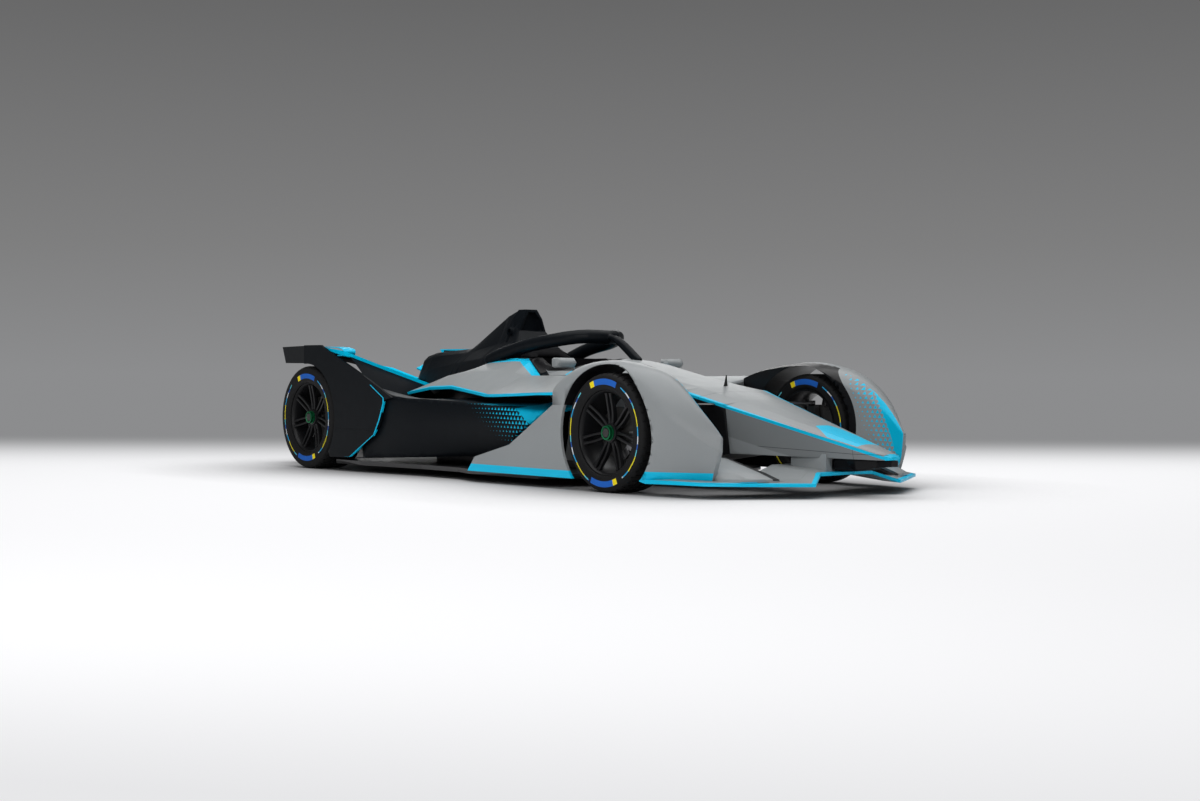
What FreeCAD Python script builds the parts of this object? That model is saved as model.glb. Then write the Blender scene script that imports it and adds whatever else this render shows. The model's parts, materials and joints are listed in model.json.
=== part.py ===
import FreeCAD
import Part
import math
import os

Vector = FreeCAD.Vector

# Overall sizes, in millimetres: X points forward, Y to the left, Z up
overall_length = 5160
overall_width = 1770
body_height = 1045
wheelbase = 3100
nose_overhang = 1270
half_width = overall_width / 2
front_axle_x = overall_length / 2 - nose_overhang
rear_axle_x = front_axle_x - wheelbase
tail_x = -overall_length / 2

# Tyres and rims
front_tyre_radius = 320
front_tyre_width = 240
rear_tyre_radius = 340
rear_tyre_width = 270
tyre_shoulder = 26
tyre_bulge_share = 0.45
tyre_facets = 60
bead_radius = 229
rim_flange = 10
rim_wall = 9
drop_depth = 16
spoke_count = 7
spoke_width = 19
spoke_depth = 24
spoke_hub_turn = 10.5
spoke_rim_turn = 4.8
rim_hub_radius = 52
rim_hub_depth = 44
rim_hub_inset = 42
nut_sides = 6
nut_radius = 27
nut_length = 26

# Brakes, hubs and uprights
disc_radius = 139
disc_thickness = 30
hub_radius = 44
axle_radius = 24
axle_clearance = 0.5
bearing_radius = 42
upright_thickness = 38
upright_width = 84
ball_height = 148
ball_radius = 15
ball_length = 30
joint_gap = 0.3
kingpin_inset = 50
disc_gap = 16
caliper_gap = 6
caliper_wall = 14
caliper_depth = 46
caliper_span = 64
caliper_turn = 28
upright_shares = (
    # ahead of axle by its width, above axle by its half height
    (-0.5, 0.38), (-0.34, 1.0), (0.34, 1.0), (0.5, 0.38),
    (0.5, -0.38), (0.34, -1.0), (-0.34, -1.0), (-0.5, -0.38),
)
steering_arm = 100
arm_width = 24
arm_thickness = 12

# Suspension links and steering rack
link_radius = 10
link_chord = 42
link_thickness = 16
tie_rod_radius = 8
rack_radius = 17
rack_reach = 330
rack_clearance = 0.3
column_tilt = 12
column_radius = 14
wheel_half_width = 135
wheel_half_height = 82

# Clearances and walls
arch_radius = 368
rear_arch_radius = 356
running_gap = 8
front_well_share = 1.5
seat_gap = 0.3
wall = 24
skin = 16
plate_half_thickness = 11
overrun = 40
halo_half_width = 33
halo_half_height = 36
pillar_half_length = 40
halo_sides = 12
halo_steps = 30
hoop_wall = 20
floor_thickness = 26
floor_height = 46
cockpit_floor = floor_height + floor_thickness + 2 * wall
lifting_bush_radius = 26
lifting_bore_radius = 16
lifting_bush_length = 262


def body(x_share, y_share, z_share):
    """A point behind the front axle by shares of wheelbase, half width and height."""
    return Vector(
        front_axle_x - x_share * wheelbase, y_share * half_width, z_share * body_height
    )


def closed(points):
    return Part.makePolygon(list(points) + [points[0]])


def prism(points, direction):
    return Part.Face(closed(points)).extrude(direction)


def ruled(outlines):
    return Part.makeLoft([closed(points) for points in outlines], True, True)


def smooth(wires):
    return Part.makeLoft(wires, True, False)


def mirrored(shape):
    return shape.mirror(Vector(0, 0, 0), Vector(0, 1, 0))


def rod(radius, start, end):
    return Part.makeCylinder(radius, (end - start).Length, start, end - start)


def across(radius, length, x, y, z, side):
    """A cylinder along Y that starts at y and runs outwards on one side."""
    return Part.makeCylinder(radius, length, Vector(x, y, z), Vector(0, side, 0))


def joined(shapes):
    whole = shapes[0]
    for shape in shapes[1:]:
        whole = whole.fuse(shape)
    return whole.removeSplitter()


def largest(shape):
    return max(shape.Solids, key=lambda solid: solid.Volume)


def curve(points):
    """A smooth edge through points, or a straight one between two."""
    if len(points) == 2:
        return Part.makeLine(points[0], points[1])
    path = Part.BSplineCurve()
    path.interpolate(points)
    return path.toShape()


def outline(runs):
    """A closed wire of runs of points, each a smooth curve, with straight edges between."""
    edges = []
    for run, following in zip(runs, runs[1:] + runs[:1]):
        edges.append(curve(run))
        if run[-1].distanceToPoint(following[0]) > joint_gap:
            edges.append(Part.makeLine(run[-1], following[0]))
    return Part.Wire(edges)


def tube(points, half_across, half_tall, sides, steps):
    """A tube with an oval section of so many sides, along a smooth path."""
    path = Part.BSplineCurve()
    path.interpolate(points)
    rings = []
    for step in range(steps + 1):
        where = path.FirstParameter + (path.LastParameter - path.FirstParameter) * step / steps
        along = Vector(*path.tangent(where)[0])
        sideways = along.cross(Vector(0, 0, 1)).normalize()
        upwards = sideways.cross(along)
        ring = []
        for side in range(sides):
            turn = 2 * math.pi * (side + 0.5) / sides
            across_part = sideways * half_across * math.cos(turn)
            ring.append(path.value(where) + across_part + upwards * half_tall * math.sin(turn))
        rings.append(ring)
    return ruled(rings)


def save(name, shape):
    os.makedirs("parts", exist_ok=True)
    shape.exportStep("parts/" + name + ".step")


# Wheels
def ring(profile, x, z):
    """Revolves (radius, y) points about the wheel's axle."""
    section = [Vector(x, y, z + radius) for radius, y in profile]
    return Part.Face(closed(section)).revolve(Vector(x, 0, z), Vector(0, 1, 0), 360)


def tyre(x, radius, width):
    """A tyre of so many flat facets round, on its round bead seat."""
    outer = half_width
    inner = half_width - width
    bulge_radius = bead_radius + (radius - bead_radius) * tyre_bulge_share
    tuck = rim_flange + rim_wall
    profile = [
        (bead_radius + tuck, outer - tuck),
        (bulge_radius, outer),
        (radius - tyre_shoulder, outer - seat_gap),
        (radius, outer - tyre_shoulder),
        (radius, inner + tyre_shoulder),
        (radius - tyre_shoulder, inner + seat_gap),
        (bulge_radius, inner),
        (bead_radius + tuck, inner + tuck),
    ]
    body_of_tyre = ruled([facets_round(x, y, radius, reach) for reach, y in profile])
    bead = across(bead_radius + seat_gap, width, x, inner, radius, 1)
    return body_of_tyre.cut(bead)


def facets_round(x, y, z, radius):
    """Corners of a ring about the wheel's axle, with one corner straight down."""
    corners = []
    for index in range(tyre_facets):
        turn = 2 * math.pi * index / tyre_facets
        corners.append(Vector(x + radius * math.sin(turn), y, z - radius * math.cos(turn)))
    return corners


def rim(x, radius, width):
    outer = half_width - rim_flange
    inner = half_width - width + rim_flange
    lip = bead_radius - seat_gap
    well = bead_radius - drop_depth
    slope = drop_depth + rim_flange
    profile = [
        (lip, outer - rim_flange),
        (lip, outer - rim_flange - slope),
        (well, outer - rim_flange - slope - drop_depth),
        (well, inner + rim_flange + slope),
        (lip, inner + rim_flange),
        (lip, inner),
        (lip - rim_wall, inner),
        (well - rim_wall, inner + rim_flange + slope),
        (well - rim_wall, outer - rim_flange - slope - drop_depth),
        (lip - rim_wall, outer - slope),
        (lip - rim_wall, outer - rim_flange),
    ]
    barrel = ring(profile, x, radius)
    hub_outer = half_width - rim_hub_inset
    hub = across(rim_hub_radius, rim_hub_depth, x, hub_outer, radius, -1)
    pieces = [barrel, hub]
    for index in range(spoke_count):
        turn = index * 360 / spoke_count
        for hand in (-1, 1):
            pieces.append(spoke(x, radius, turn, hand, hub_outer, outer))
    bore = across(axle_radius + seat_gap, half_width, x, 0, radius, 1)
    return joined(pieces).cut(bore)


def spoke(x, z, turn, hand, hub_outer, rim_outer):
    """One of a pair of bars that part from the hub towards the rim."""
    outlines = []
    root = rim_hub_radius - rim_wall
    reach = bead_radius - drop_depth - rim_wall / 2
    stations = (
        (root, spoke_hub_turn, hub_outer - skin, spoke_depth),
        (reach, spoke_rim_turn, rim_outer - rim_hub_depth, spoke_depth),
    )
    for radius, spread, face_y, depth in stations:
        angle = math.radians(turn + hand * spread)
        along = Vector(math.sin(angle), 0, math.cos(angle))
        sideways = Vector(math.cos(angle), 0, -math.sin(angle))
        centre = Vector(x, face_y, z) + along * radius
        half = sideways * (spoke_width / 2)
        back = Vector(0, -depth, 0)
        outlines.append([centre - half, centre + half, centre + half + back, centre - half + back])
    return ruled(outlines)


def nut(x, z):
    face = half_width - rim_hub_inset
    points = []
    for corner in range(nut_sides):
        angle = 2 * math.pi * corner / nut_sides
        points.append(Vector(x + nut_radius * math.cos(angle), face, z + nut_radius * math.sin(angle)))
    return prism(points, Vector(0, nut_length, 0))


def hub(x, radius, width, inner_end):
    """Hub, brake disc, axle shaft and wheel nut that turn with the wheel."""
    pin = half_width - width / 2 - kingpin_inset
    bearing_face = pin + upright_thickness / 2 + joint_gap
    hub_face = half_width - rim_hub_inset - rim_hub_depth
    disc_y = pin + upright_thickness / 2 + disc_gap
    nut_face = half_width - rim_hub_inset
    shaft = across(axle_radius, nut_face - inner_end, x, inner_end, radius, 1)
    boss = across(hub_radius, hub_face - bearing_face, x, bearing_face, radius, 1)
    disc = across(disc_radius, disc_thickness, x, disc_y, radius, 1)
    return joined([shaft, boss, disc, nut(x, radius)])


# Uprights, calipers and links
def upright(x, radius, width, reach=1):
    """The bearing carrier between the two ball joints, with its steering arm."""
    pin = half_width - width / 2 - kingpin_inset
    inner = pin - upright_thickness / 2
    top = ball_height - ball_length / 2
    points = []
    for x_share, z_share in upright_shares:
        points.append(Vector(x + x_share * upright_width, inner, radius + z_share * top))
    plate = prism(points, Vector(0, upright_thickness, 0))
    bore_start = inner - overrun
    bore = across(axle_radius + axle_clearance, upright_thickness + 2 * overrun,
                  x, bore_start, radius, 1)
    barrel = across(bearing_radius + rim_wall, upright_thickness, x, inner, radius, 1)
    clamp = caliper(x, radius, pin)
    if reach < 0:
        clamp = clamp.mirror(Vector(x, 0, 0), Vector(1, 0, 0))
    return plate.fuse(barrel).cut(bore).fuse(clamp)


def caliper(x, z, pin):
    """A brake caliper that wraps the disc ahead of the axle and low down."""
    inner = pin - upright_thickness / 2
    outer = pin + upright_thickness / 2 + disc_gap + disc_thickness + caliper_gap + caliper_wall
    outer_radius = disc_radius + caliper_gap + caliper_wall
    inner_radius = outer_radius - caliper_depth
    whole = Part.makeCylinder(outer_radius, outer - inner, Vector(x, inner, z),
                              Vector(0, 1, 0), 360)
    core = Part.makeCylinder(inner_radius, outer - inner, Vector(x, inner, z), Vector(0, 1, 0))
    slot_start = pin + upright_thickness / 2 + disc_gap - caliper_gap
    slot = Part.makeCylinder(disc_radius + caliper_gap, disc_thickness + 2 * caliper_gap,
                             Vector(x, slot_start, z), Vector(0, 1, 0))
    reach = outer_radius * 2
    low = math.radians(-caliper_turn - caliper_span / 2)
    high = math.radians(-caliper_turn + caliper_span / 2)
    wedge = prism(
        [
            Vector(x, inner, z),
            Vector(x + reach * math.cos(low), inner, z + reach * math.sin(low)),
            Vector(x + reach * math.cos(high), inner, z + reach * math.sin(high)),
        ],
        Vector(0, outer - inner, 0),
    )
    bridge = prism(
        [
            Vector(x + upright_width / 4, inner, z - upright_width / 2),
            Vector(x + inner_radius + skin, inner, z - inner_radius),
            Vector(x + inner_radius + skin, inner, z),
            Vector(x + upright_width / 4, inner, z),
        ],
        Vector(0, upright_thickness / 2, 0),
    )
    bore = across(axle_radius + axle_clearance, outer, x, inner - overrun, z, 1)
    return whole.cut(core).common(wedge).cut(slot).fuse(bridge.cut(bore))


def steering_lever(x, radius, width):
    """The arm behind the kingpin that the tie rod pushes."""
    pin = half_width - width / 2 - kingpin_inset
    bottom = radius + tie_rod_radius + rim_wall / 2 + joint_gap
    plate = Part.makeBox(
        steering_arm - upright_width / 4, arm_width, arm_thickness,
        Vector(x - steering_arm, pin - arm_width / 2, bottom)
    )
    tip = Part.makeCylinder(arm_width / 2, arm_thickness,
                            Vector(x - steering_arm, pin, bottom))
    bore = across(axle_radius + axle_clearance, half_width, x, 0, radius, 1)
    return plate.fuse(tip).cut(bore)


def link(start, end):
    """A suspension link with a flat, streamlined section."""
    outlines = []
    for point in (start, end):
        outlines.append([
            point + Vector(link_chord / 2, 0, 0),
            point + Vector(link_chord / 6, 0, link_thickness / 2),
            point + Vector(-link_chord / 2, 0, 0),
            point + Vector(link_chord / 6, 0, -link_thickness / 2),
        ])
    return ruled(outlines)


def a_arm(x, y, z, pickups, up):
    """Two links from a ball joint on the kingpin to the body, as one arm."""
    base = Vector(x, y, z + up * (ball_height - ball_length / 2 + joint_gap))
    ball = Part.makeCylinder(ball_radius, ball_length, base, Vector(0, 0, up))
    end = base + Vector(0, 0, up * (ball_length - link_thickness))
    return joined([ball] + [link(end, pickup) for pickup in pickups])


# Bodywork tables: shares of wheelbase behind the front axle, half width and body height
crown_shoulder_share = 0.55
crown_rise_share = 0.8
crown_flat_share = 0.15
tub_shares = (
    # behind axle, chine y, chine z, crown z, foot y, foot z
    (-0.094, 0.302, 0.444, 0.475, 0.262, 0.196),
    (0.0, 0.373, 0.518, 0.543, 0.318, 0.163),
    (0.119, 0.390, 0.543, 0.612, 0.339, 0.112),
    (0.229, 0.396, 0.588, 0.684, 0.350, 0.0692),
    (0.270, 0.396, 0.600, 0.695, 0.350, 0.0692),
    (0.401, 0.396, 0.600, 0.690, 0.350, 0.0692),
    (0.437, 0.390, 0.692, 0.712, 0.350, 0.0692),
    (0.548, 0.370, 0.690, 0.706, 0.340, 0.0692),
)
cockpit_shares = (
    # behind axle, half width: the opening's outline from the front backwards
    (0.275, 0.160), (0.330, 0.285), (0.470, 0.285), (0.530, 0.200),
)
footwell_shares = (
    # behind axle, half width, low z, top z
    (0.285, 0.270, cockpit_floor / body_height, 0.500),
    (0.045, 0.250, 0.161, 0.445),
)
nose_shares = (
    (-nose_overhang / wheelbase, 0.036, 0.201, 0.206, 0.030, 0.191),
    (-0.400, 0.066, 0.213, 0.222, 0.055, 0.189),
    (-0.094, 0.302, 0.444, 0.475, 0.262, 0.196),
)
cover_shares = (
    # behind axle, foot y, foot z, waist y, waist z, neck y, neck z, spine y, spine z
    (0.548, 0.370, 0.600, 0.330, 0.700, 0.240, 0.735, 0.180, 0.750),
    (0.578, 0.370, 0.595, 0.310, 0.704, 0.180, 0.790, 0.110, 0.880),
    (0.604, 0.370, 0.588, 0.295, 0.705, 0.150, 0.800, 0.050, 0.995),
    (0.642, 0.365, 0.560, 0.280, 0.700, 0.135, 0.790, 0.042, 0.960),
    (0.737, 0.345, 0.510, 0.235, 0.675, 0.125, 0.745, 0.042, 0.814),
    (0.763, 0.335, 0.498, 0.222, 0.668, 0.130, 0.735, 0.060, 0.765),
    (0.894, 0.230, 0.420, 0.160, 0.630, 0.110, 0.715, 0.064, 0.741),
    (0.931, 0.200, 0.400, 0.140, 0.590, 0.100, 0.690, 0.060, 0.719),
    (0.963, 0.150, 0.380, 0.120, 0.480, 0.090, 0.560, 0.055, 0.596),
)
hoop_shares = (
    # z, front and back behind axle, half of its width
    (0.690, 0.574, 0.612, 0.200),
    (0.838, 0.576, 0.612, 0.132),
    (0.943, 0.575, 0.611, 0.085),
    (1.000, 0.580, 0.604, 0.051),
)
hoop_pocket_share = 0.588
lifting_place_share = 0.600
lifting_height_share = 0.866
headrest_shares = (
    # behind axle, half width, top z
    (0.478, 0.262, 0.660), (0.510, 0.262, 0.706), (0.546, 0.240, 0.764),
)
headrest_low_share = 0.62
headrest_taper_share = 0.7
head_space_shares = (
    # behind axle, half width
    (0.470, 0.190), (0.505, 0.150), (0.522, 0.090),
)
head_space_low_share = 0.5
head_space_top_share = 0.9
seat_shares = (
    # behind axle, height above the cockpit floor
    (0.33, 0), (0.33, 0.05), (0.44, 0.06), (0.500, 0.42), (0.515, 0.42), (0.47, 0),
)
seat_half_share = 0.18
halo_shares = (
    # behind axle, y, z: the hoop's centre line from the front backwards
    (0.335, 0.0, 0.821), (0.347, 0.118, 0.825), (0.385, 0.229, 0.813), (0.432, 0.287, 0.792),
    (0.486, 0.305, 0.768), (0.532, 0.322, 0.737), (0.565, 0.339, 0.710), (0.590, 0.345, 0.684),
)
pillar_shares = (
    # behind axle, y, z: the pillar's centre line from the hoop down
    (0.335, 0.0, 0.828), (0.316, 0.0, 0.818), (0.299, 0.0, 0.798), (0.283, 0.0, 0.770),
    (0.261, 0.0, 0.725), (0.235, 0.0, 0.670),
)
pillar_width_share = 0.4
fairing_shares = (
    # ahead of axle, foot y, crease y, crease z, ridge y, ridge z, shoulder y, shoulder z,
    # side y, side z, hem y
    (-0.142, 0.640, 0.650, 0.585, 0.790, 0.600, 0.930, 0.575, 1.0, 0.510, 1.0),
    (-0.110, 0.650, 0.662, 0.617, 0.815, 0.643, 0.948, 0.612, 1.0, 0.540, 1.0),
    (-0.060, 0.676, 0.677, 0.645, 0.840, 0.669, 0.961, 0.647, 1.0, 0.580, 1.0),
    (0.0, 0.684, 0.684, 0.655, 0.842, 0.676, 0.966, 0.655, 1.0, 0.600, 1.0),
    (0.060, 0.690, 0.698, 0.617, 0.841, 0.650, 0.966, 0.624, 1.0, 0.565, 0.990),
    (0.110, 0.697, 0.715, 0.540, 0.848, 0.606, 0.963, 0.568, 0.999, 0.492, 0.962),
    (0.161, 0.726, 0.764, 0.454, 0.835, 0.509, 0.932, 0.469, 0.968, 0.383, 0.889),
    (0.200, 0.768, 0.779, 0.375, 0.820, 0.405, 0.872, 0.364, 0.892, 0.298, 0.826),
    (0.236, 0.790, 0.786, 0.288, 0.794, 0.290, 0.799, 0.272, 0.802, 0.216, 0.798),
)
fairing_hem_share = 0.070
panel_top_share = 0.444
prow_shares = (
    # behind axle, z: the fairing's front edge, from above it downwards
    (-0.2335, 0.60), (-0.2335, 0.228), (-0.2125, 0.050),
)
shoulder_shares = (
    # behind axle, inner y, inner z, ridge y, ridge z, edge y, edge z
    (0.142, 0.380, 0.540, 0.790, 0.600, 1.0, 0.510),
    (0.213, 0.375, 0.585, 0.630, 0.597, 0.938, 0.507),
    (0.284, 0.375, 0.596, 0.565, 0.597, 0.880, 0.500),
    (0.401, 0.375, 0.598, 0.545, 0.594, 0.797, 0.490),
    (0.437, 0.370, 0.690, 0.540, 0.610, 0.775, 0.490),
    (0.492, 0.365, 0.698, 0.530, 0.622, 0.746, 0.506),
    (0.581, 0.340, 0.684, 0.520, 0.622, 0.700, 0.531),
    (0.676, 0.240, 0.636, 0.497, 0.593, 0.655, 0.523),
    (0.774, 0.200, 0.569, 0.452, 0.536, 0.610, 0.492),
    (0.835, 0.150, 0.540, 0.400, 0.510, 0.560, 0.465),
)
pod_inner_share = 0.330
pod_inner_walls = 3
intake_rows = 3
pod_shares = (
    # behind axle, foot y, foot z, waist y, waist z, crease y, crease z, inner z
    (0.240, 0.700, 0.150, 0.790, 0.290, 0.800, 0.405, 0.440),
    (0.300, 0.745, 0.139, 0.815, 0.280, 0.814, 0.410, 0.452),
    (0.370, 0.762, 0.135, 0.830, 0.274, 0.827, 0.424, 0.462),
    (0.440, 0.775, 0.131, 0.843, 0.268, 0.842, 0.437, 0.471),
    (0.510, 0.803, 0.126, 0.867, 0.260, 0.865, 0.448, 0.475),
    (0.580, 0.858, 0.116, 0.905, 0.255, 0.906, 0.455, 0.462),
    (0.650, 0.915, 0.107, 0.946, 0.252, 0.950, 0.463, 0.438),
    (0.720, 0.945, 0.098, 0.966, 0.250, 0.970, 0.500, 0.415),
    (0.790, 0.958, 0.090, 0.974, 0.250, 0.976, 0.560, 0.390),
)
lip_shares = (
    # behind axle, z: what is cut away ahead of the intake's slanted lip
    (0.20, 0.05), (0.20, 0.410), (0.233, 0.408), (0.324, 0.258), (0.345, 0.05),
)
deflector_shares = (
    # behind axle, z: the outline at the car's side from the foot forwards and up
    (0.903, 0.085), (0.845, 0.088), (0.825, 0.090), (0.735, 0.227), (0.712, 0.304),
    (0.694, 0.445), (0.667, 0.463), (0.739, 0.553), (0.815, 0.640), (0.903, 0.736),
    (0.942, 0.783), (1.010, 0.783), (1.010, 0.667),
)
wheel_rim_shares = (
    # y, z on the steering wheel's face
    (-1, -0.55), (-1, 0.75), (-0.80, 1), (0.80, 1), (1, 0.75), (1, -0.55), (0.72, -1),
    (-0.72, -1),
)
wheel_hole_shares = ((0.62, -0.50), (0.82, -0.45), (0.82, 0.45), (0.62, 0.60))
wheel_place_share = 0.320
wheel_height_share = 0.560
column_share = 0.07
mirror_place_share = 0.297
mirror_height_share = 0.670
mirror_stem_y_share = 0.360
mirror_stem_z_share = 0.590
mirror_shares = (
    # y, half length and half height in walls
    (0.390, 0.7, 0.5), (0.415, 1.6, 1.15), (0.530, 1.7, 1.2), (0.555, 1.3, 0.9),
)
side_panel_shares = (
    (0.082, 0.062), (0.403, 0.063), (0.380, 0.144), (0.271, 0.221), (0.142, 0.444),
    (0.082, 0.444),
)
wing_tip_plate_shares = (
    # upper edge: behind axle, y, z; lower edge: behind axle, y, z
    ((0.942, 1.0, 0.783), (0.942, 1.0, 0.667)),
    ((1.2219, 0.7616, 0.780), (1.1965, 0.783, 0.672)),
)
rear_wing_shares = (
    # y, nose behind axle, nose z, tail behind axle, tail z
    (0.110, 0.842, 0.492, 1.052, 0.640),
    (0.600, 0.836, 0.618, 1.150, 0.740),
    (0.768, 0.832, 0.661, 1.214, 0.772),
    (0.985, 0.828, 0.718, 0.950, 0.770),
)
floor_shares = (
    # behind axle, y: half of the floor's outline
    (0.10, 0.30), (0.14, 0.56), (0.19, 0.981), (0.40, 0.981), (0.47, 0.91), (0.60, 0.90),
    (0.80, 0.96), (0.895, 0.96), (0.91, 0.63), (1.00, 0.60), (1.06, 0.60),
)
diffuser_shares = (
    # behind axle, y, low z, high z
    (1.00, 0.56, 0.045, 0.062),
    (1.12, 0.57, 0.110, 0.126),
    ((front_axle_x - tail_x) / wheelbase, 0.58, 0.235, 0.248),
)
front_wing_shares = (
    # y, nose behind axle, nose z, tail behind axle, tail z
    (0.0, -0.3026, 0.114, -0.190, 0.150),
    (0.226, -0.3026, 0.112, -0.188, 0.146),
    (0.366, -0.3300, 0.066, -0.178, 0.096),
    (0.650, -0.2780, 0.068, -0.160, 0.096),
    (0.905, -0.2310, 0.071, -0.150, 0.086),
    (0.962, -0.150, 0.071, -0.115, 0.078),
    (0.985, -0.110, 0.071, -0.090, 0.074),
)
wing_nose_share = 0.7
wing_quarter_share = 0.25
wing_tail_share = 0.25
flap_foot_nose_share = 0.070
flap_foot_tail_share = 0.085
flap_shares = (
    # y, nose behind axle, nose z, tail behind axle, tail z
    (0.500, -0.284, 0.086, -0.150, 0.190),
    (0.600, -0.276, 0.088, -0.148, 0.208),
    (0.700, -0.262, 0.088, -0.146, 0.208),
    (0.790, -0.232, 0.088, -0.144, 0.186),
)
pylon_y_share = 0.085
pylon_shares = ((-0.209, 0.115), (-0.291, 0.105), (-0.291, 0.212), (-0.209, 0.212))
skid_shares = (
    # ahead of axle, half width, low z, high z: the keel under the nose's tip
    (0.2925, 0.080, 0.135, 0.205),
    (0.3400, 0.080, 0.130, 0.200),
    (0.3790, 0.034, 0.152, 0.196),
    (0.4080, 0.028, 0.158, 0.187),
)


mast_shares = (-0.003, 0.5435, 0.06)
battery_shares = (0.790, 0.32, 0.241, 0.34)
gearbox_shares = (1.040, 0.15, 0.25, 0.23)
crash_shares = (
    # behind axle, half width, low z, high z
    (1.040, 0.13, 0.200, 0.340),
    (1.200, 0.09, 0.223, 0.317),
)
lamp_shares = (0.06, 0.23, 0.08)
front_upper_shares = ((-0.07, 0.29, 0.45), (0.065, 0.36, 0.46))
front_lower_shares = ((-0.07, 0.26, 0.22), (0.065, 0.31, 0.20))
push_rod_shares = (0, 0.36, 0.44)
rear_upper_shares = ((0.93, 0.14, 0.34), (1.03, 0.14, 0.34))
rear_lower_shares = ((0.93, 0.14, 0.18), (1.03, 0.14, 0.18))


def cross_section(x, half):
    """A closed outline across the car from points on its left half, foot first."""
    right = [Vector(x, -point[0], point[1]) for point in reversed(half)]
    return [Vector(x, point[0], point[1]) for point in half] + right


def scaled(y_share, z_share):
    return (y_share * half_width, z_share * body_height)


def tub_section(row):
    place, chine_y, chine_z, crown_z, foot_y, foot_z = row
    x = front_axle_x - place * wheelbase
    half = [
        scaled(foot_y, foot_z),
        scaled(chine_y, chine_z),
        scaled(chine_y * crown_shoulder_share, chine_z + (crown_z - chine_z) * crown_rise_share),
        scaled(chine_y * crown_flat_share, crown_z),
    ]
    return cross_section(x, half)


# Survival cell with the open cockpit and the footwell
def tub_envelope():
    return ruled([tub_section(row) for row in tub_shares])


def monocoque():
    shell = tub_envelope().cut(below_floors()).cut(cockpit_space()).cut(footwell_space())
    return shell.cut(rack_tunnel()).cut(column_bore())


def belly_pan():
    return tub_envelope().common(below_floors())


def below_floors():
    """All that is lower than the cockpit's floor and the footwell's rising floor."""
    (rear_place, _, rear_low, _), (front_place, _, front_low, _) = footwell_shares
    rising = [body(rear_place, 0, rear_low), body(front_place, 0, front_low)]
    tail = Vector(-overall_length, 0, cockpit_floor)
    end = rising[1] + Vector(wall, 0, 0)
    outline = [Vector(tail.x, 0, 0), tail] + rising + [end, Vector(end.x, 0, 0)]
    return prism([point - Vector(0, overall_width, 0) for point in outline], Vector(0, 2 * overall_width, 0))


def cockpit_space():
    left = [body(place, half_share, 0) for place, half_share in cockpit_shares]
    right = [Vector(point.x, -point.y, 0) for point in reversed(left)]
    base = Vector(0, 0, cockpit_floor)
    return prism([point + base for point in left + right], Vector(0, 0, body_height))


def footwell_space():
    outlines = []
    for place, y_share, low_share, top_share in footwell_shares:
        outlines.append([body(place, -y_share, low_share), body(place, y_share, low_share),
                         body(place, y_share, top_share), body(place, -y_share, top_share)])
    return ruled(outlines)


def rack_tunnel():
    return Part.makeCylinder(
        rack_radius + rack_clearance, overall_width,
        Vector(front_axle_x - steering_arm, -half_width, front_tyre_radius), Vector(0, 1, 0)
    )


def nose_cone():
    return ruled([tub_section(row) for row in reversed(nose_shares)])


# Front wheel fairings, their side panels and the shoulders behind them
def half_section(x, row):
    return [Vector(x, row[index] * half_width, row[index + 1] * body_height)
            for index in range(0, len(row), 2)]


def arch_cut():
    return across(arch_radius, half_width + overrun, front_axle_x, 0, front_tyre_radius, 1)


def beyond_width():
    """Everything outside the overall width on the left."""
    return Part.makeBox(2 * overall_length, overrun, 2 * overall_width,
                        Vector(-overall_length, half_width, 0))


def fairing():
    wires = []
    for row in fairing_shares:
        x = front_axle_x + row[0] * wheelbase
        foot = Vector(x, row[1] * half_width, fairing_hem_share * body_height)
        hem = Vector(x, row[10] * half_width, fairing_hem_share * body_height)
        wires.append(outline([half_section(x, row[2:10]), [hem, foot]]))
    pod = smooth(wires).cut(beyond_width()).cut(arch_cut())
    return largest(pod.cut(panel_space()).cut(prow_space()))


def panel_space():
    """The space under the fairing's tail, which the side panel fills."""
    top = panel_top_share * body_height
    return Part.makeBox(wheelbase, overall_width, top, Vector(front_axle_x - wheelbase, 0, 0))


def prow_space():
    """Everything ahead of the fairing's front edge."""
    edge = [body(place, 0, z_share) for place, z_share in prow_shares]
    ahead = Vector(wheelbase, 0, 0)
    return prism(edge + [edge[-1] + ahead, edge[0] + ahead], Vector(0, overall_width, 0))


def shoulder():
    outlines = []
    for place, inner_y, inner_z, ridge_y, ridge_z, edge_y, edge_z in shoulder_shares:
        x = front_axle_x - place * wheelbase - seat_gap
        top = [scaled(inner_y, inner_z), scaled(ridge_y, ridge_z), scaled(edge_y, edge_z)]
        upper = [Vector(x, y, z) for y, z in top]
        lower = [Vector(x, y, z - skin) for y, z in reversed(top)]
        outlines.append(upper + lower)
    return largest(ruled(outlines).cut(tub_envelope()).cut(engine_cover()))


def side_panel():
    corners = []
    for place, z_share in side_panel_shares:
        corners.append(body(place, 1.0, z_share) - Vector(0, skin, seat_gap))
    return prism(corners, Vector(0, skin, 0)).cut(arch_cut())


# Sidepods with their intakes
def pod_section(row, margin):
    place, foot_y, foot_z, waist_y, waist_z, crease_y, crease_z, inner_z = row
    x = front_axle_x - place * wheelbase
    inner = pod_inner_share * half_width + margin * pod_inner_walls
    flank = [
        (foot_y * half_width - margin, foot_z * body_height + margin),
        (waist_y * half_width - margin, waist_z * body_height),
        (crease_y * half_width - margin, crease_z * body_height - margin),
    ]
    inside = [(inner, inner_z * body_height - margin), (inner, foot_z * body_height + margin)]
    return [[Vector(x, y, z) for y, z in flank], [Vector(x, y, z) for y, z in inside]]


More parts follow.
